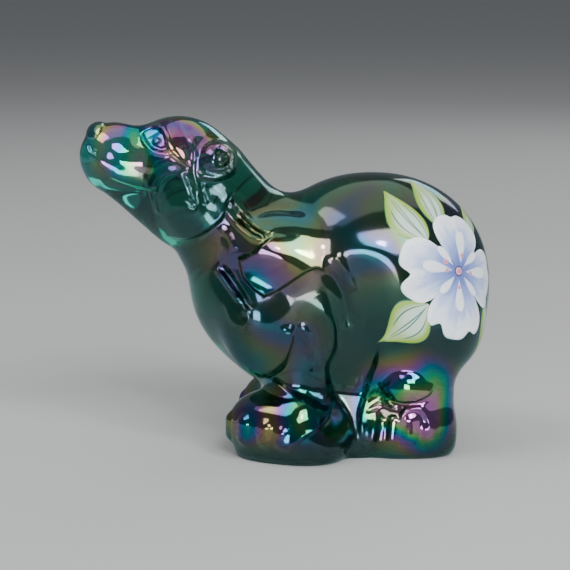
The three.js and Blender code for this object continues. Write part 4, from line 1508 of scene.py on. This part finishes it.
@dataclass
class Decoration:
    """The painted blossom and leaves on the flank.

    The leaves come first, then the petals, the stamens and the pollen over them. Every other touch of a coat
    stands higher by lift, so that two that overlap don't share a plane.
    """

    shape: Shape
    shift: Vector
    sunk: float = -0.05
    lift: float = 0.012
    coats: tuple[Coat, ...] = (
        Coat("painted_leaves", LEAVES, 0.07, LEAF_GREEN, Slot.LEAF),
        Coat("painted_petals", PETALS, 0.12, PETAL_WHITE, Slot.PETAL),
        Coat("painted_stamens", STAMENS, 0.18, STAMEN_WHITE, Slot.PETAL),
        Coat("painted_pollen", POLLEN, 0.24, POLLEN_PINK, Slot.PETAL))

    def build(self) -> list[bpy.types.Object]:
        """Paints every coat and gives back the pieces."""
        flank = Flank(self.shape)
        return [self.paint(flank, coat) for coat in self.coats]

    def paint(self, flank: Flank, coat: Coat) -> bpy.types.Object:
        """Makes one piece from touches of the brush.

        Args:
            flank: Map of the skin.
            coat: The touches, with their enamel.

        Returns:
            The piece.
        """
        places, heights, spots, quads, first = [], [], [], [], 0
        for n, dab in enumerate(coat.dabs):
            w, t = dab.net()
            places.append(dab.spread(w, t))
            heights.append(np.where(dab.rim(w, t), self.sunk, coat.height + self.lift * (n % 2)))
            spots.append(np.stack([w * 0.5 + 0.5, t], axis=1))
            index = np.arange(len(w)).reshape(dab.across, dab.along) + first
            ring = (index[:-1, :-1], index[:-1, 1:], index[1:, 1:], index[1:, :-1])
            quads.append(np.stack(ring, axis=-1).reshape(-1, 4))
            first += len(w)
        skin = self.shape.settle(flank.place(np.concatenate(places)), rounds=2, limit=0.3)
        normals = self.shape.normals(skin)
        points = skin + normals * np.concatenate(heights)[:, None]
        faces = np.concatenate(quads)
        a, b, c = (points[faces[:, n]] for n in range(3))
        outwards = (np.cross(b - a, c - a) * normals[faces[:, 0]]).sum(axis=1)
        faces = np.where((outwards < 0)[:, None], faces[:, ::-1], faces)
        piece = to_mesh(coat.name, points, faces)
        layer = piece.data.uv_layers.new(name="brush")
        layer.data.foreach_set("uv", np.concatenate(spots)[faces.ravel()].ravel())
        piece.data.transform(Matrix.Translation(self.shift))
        piece.data.materials.append(coat.finish.material())
        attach(piece, "root")
        return piece


@dataclass(frozen=True)
class Lamp:
    """Soft area light. Place and size are in metres, and power is in watts."""

    name: str
    place: Vec3
    size: Vec2
    power: float
    colour: Vec3 = (1.0, 1.0, 1.0)

    def build(self, target: Vec3) -> None:
        """Sets the lamp up.

        Args:
            target: Point that it faces.
        """
        data = bpy.data.lights.new(self.name, "AREA")
        data.shape = "RECTANGLE"
        data.size, data.size_y = self.size
        data.energy = self.power
        data.color = self.colour
        lamp = place_in_scene(self.name, data)
        lamp.location = self.place
        aim = Vector(target) - Vector(self.place)
        lamp.rotation_euler = aim.to_track_quat("-Z", "Y").to_euler()


@dataclass(frozen=True)
class Studio:
    """Floor, soft light and the camera at the photograph's angle. Lengths are in metres."""

    azimuth: float = -3.0
    elevation: float = 9.0
    distance: float = 0.56
    aim: Vec3 = (0.0, 0.0, 0.0442)
    lens_pixels: float = 2044.0
    frame_pixels: float = 570.0
    sensor: float = 36.0
    near_clip: float = 0.01
    floor_radius: float = 10.0
    floor_sides: int = 96
    sky: Vec3 = (0.62, 0.65, 0.7)
    sky_strength: float = 0.3
    lit_point: Vec3 = (0.0, 0.0, 0.045)
    lamps: tuple[Lamp, ...] = (
        Lamp("key", (0.31, -0.95, 0.78), (0.90, 0.55), 14, (0.95, 0.98, 1.0)),
        Lamp("window", (-0.27, -1.17, 0.165), (0.60, 0.23), 5.5, (0.97, 0.98, 1.0)),
        Lamp("left", (-0.54, -0.21, 0.95), (0.55, 0.45), 3),
        Lamp("left pane", (0.14, -0.89, 0.66), (0.07, 0.09), 1.4),
        Lamp("right pane", (0.50, -0.75, 0.66), (0.07, 0.07), 1.2),
        Lamp("ceiling", (-0.1, 0.15, 1.2), (1.7, 1.2), 5),
        Lamp("rim", (0.5, 0.9, 0.6), (0.5, 0.3), 1.5))

    def floor(self) -> bpy.types.Object:
        """Lays the floor.

        Returns:
            The floor.
        """
        mesh = bpy.data.meshes.new("floor")
        turns = np.linspace(0, 2 * math.pi, self.floor_sides + 1)[:-1]
        ring = [(self.floor_radius * math.cos(a), self.floor_radius * math.sin(a), 0) for a in turns]
        mesh.from_pydata(ring, [], [tuple(range(self.floor_sides))])
        mesh.materials.append(FloorFinish().material())
        piece = place_in_scene("floor", mesh)
        return piece

    def light(self) -> None:
        """Sets the sky's even light and the lamps."""
        world = bpy.data.worlds.new("studio")
        world.use_nodes = True
        sky = world.node_tree.nodes["Background"]
        sky.inputs["Color"].default_value = (*self.sky, 1)
        sky.inputs["Strength"].default_value = self.sky_strength
        bpy.context.scene.world = world
        for lamp in self.lamps:
            lamp.build(self.lit_point)

    def camera(self, shift: Vector) -> None:
        """Sets the camera.

        Args:
            shift: How far the bear stands from where it was drawn.
        """
        a, e = math.radians(self.azimuth), math.radians(self.elevation)
        back = Vector((math.sin(a) * math.cos(e), -math.cos(a) * math.cos(e), math.sin(e)))
        data = bpy.data.cameras.new("camera")
        data.sensor_fit = "HORIZONTAL"
        data.sensor_width = self.sensor
        data.lens = self.sensor * self.lens_pixels / self.frame_pixels
        data.clip_start = self.near_clip
        camera = place_in_scene("camera", data)
        camera.location = Vector(self.aim) + shift + back * self.distance
        camera.rotation_euler = (-back).to_track_quat("-Z", "Y").to_euler()
        bpy.context.scene.camera = camera

    def build(self, shift: Vector) -> bpy.types.Object:
        """Sets up the studio round the bear.

        Args:
            shift: How far the bear stands from where it was drawn.

        Returns:
            The floor.
        """
        piece = self.floor()
        self.light()
        self.camera(shift)
        return piece


def main() -> None:
    """Builds the bear, its decoration and its studio, and reports each piece."""
    logging.basicConfig(level=logging.INFO, format="%(name)s: %(message)s")
    bear = Bear()
    pieces = [bear.build()]
    pieces += Decoration(bear.shape, bear.shift).build()
    pieces.append(Studio().build(bear.shift))
    for piece in pieces:
        log.info("%s: %d faces", piece.name, len(piece.data.polygons))


if __name__ == "__main__":
    main()
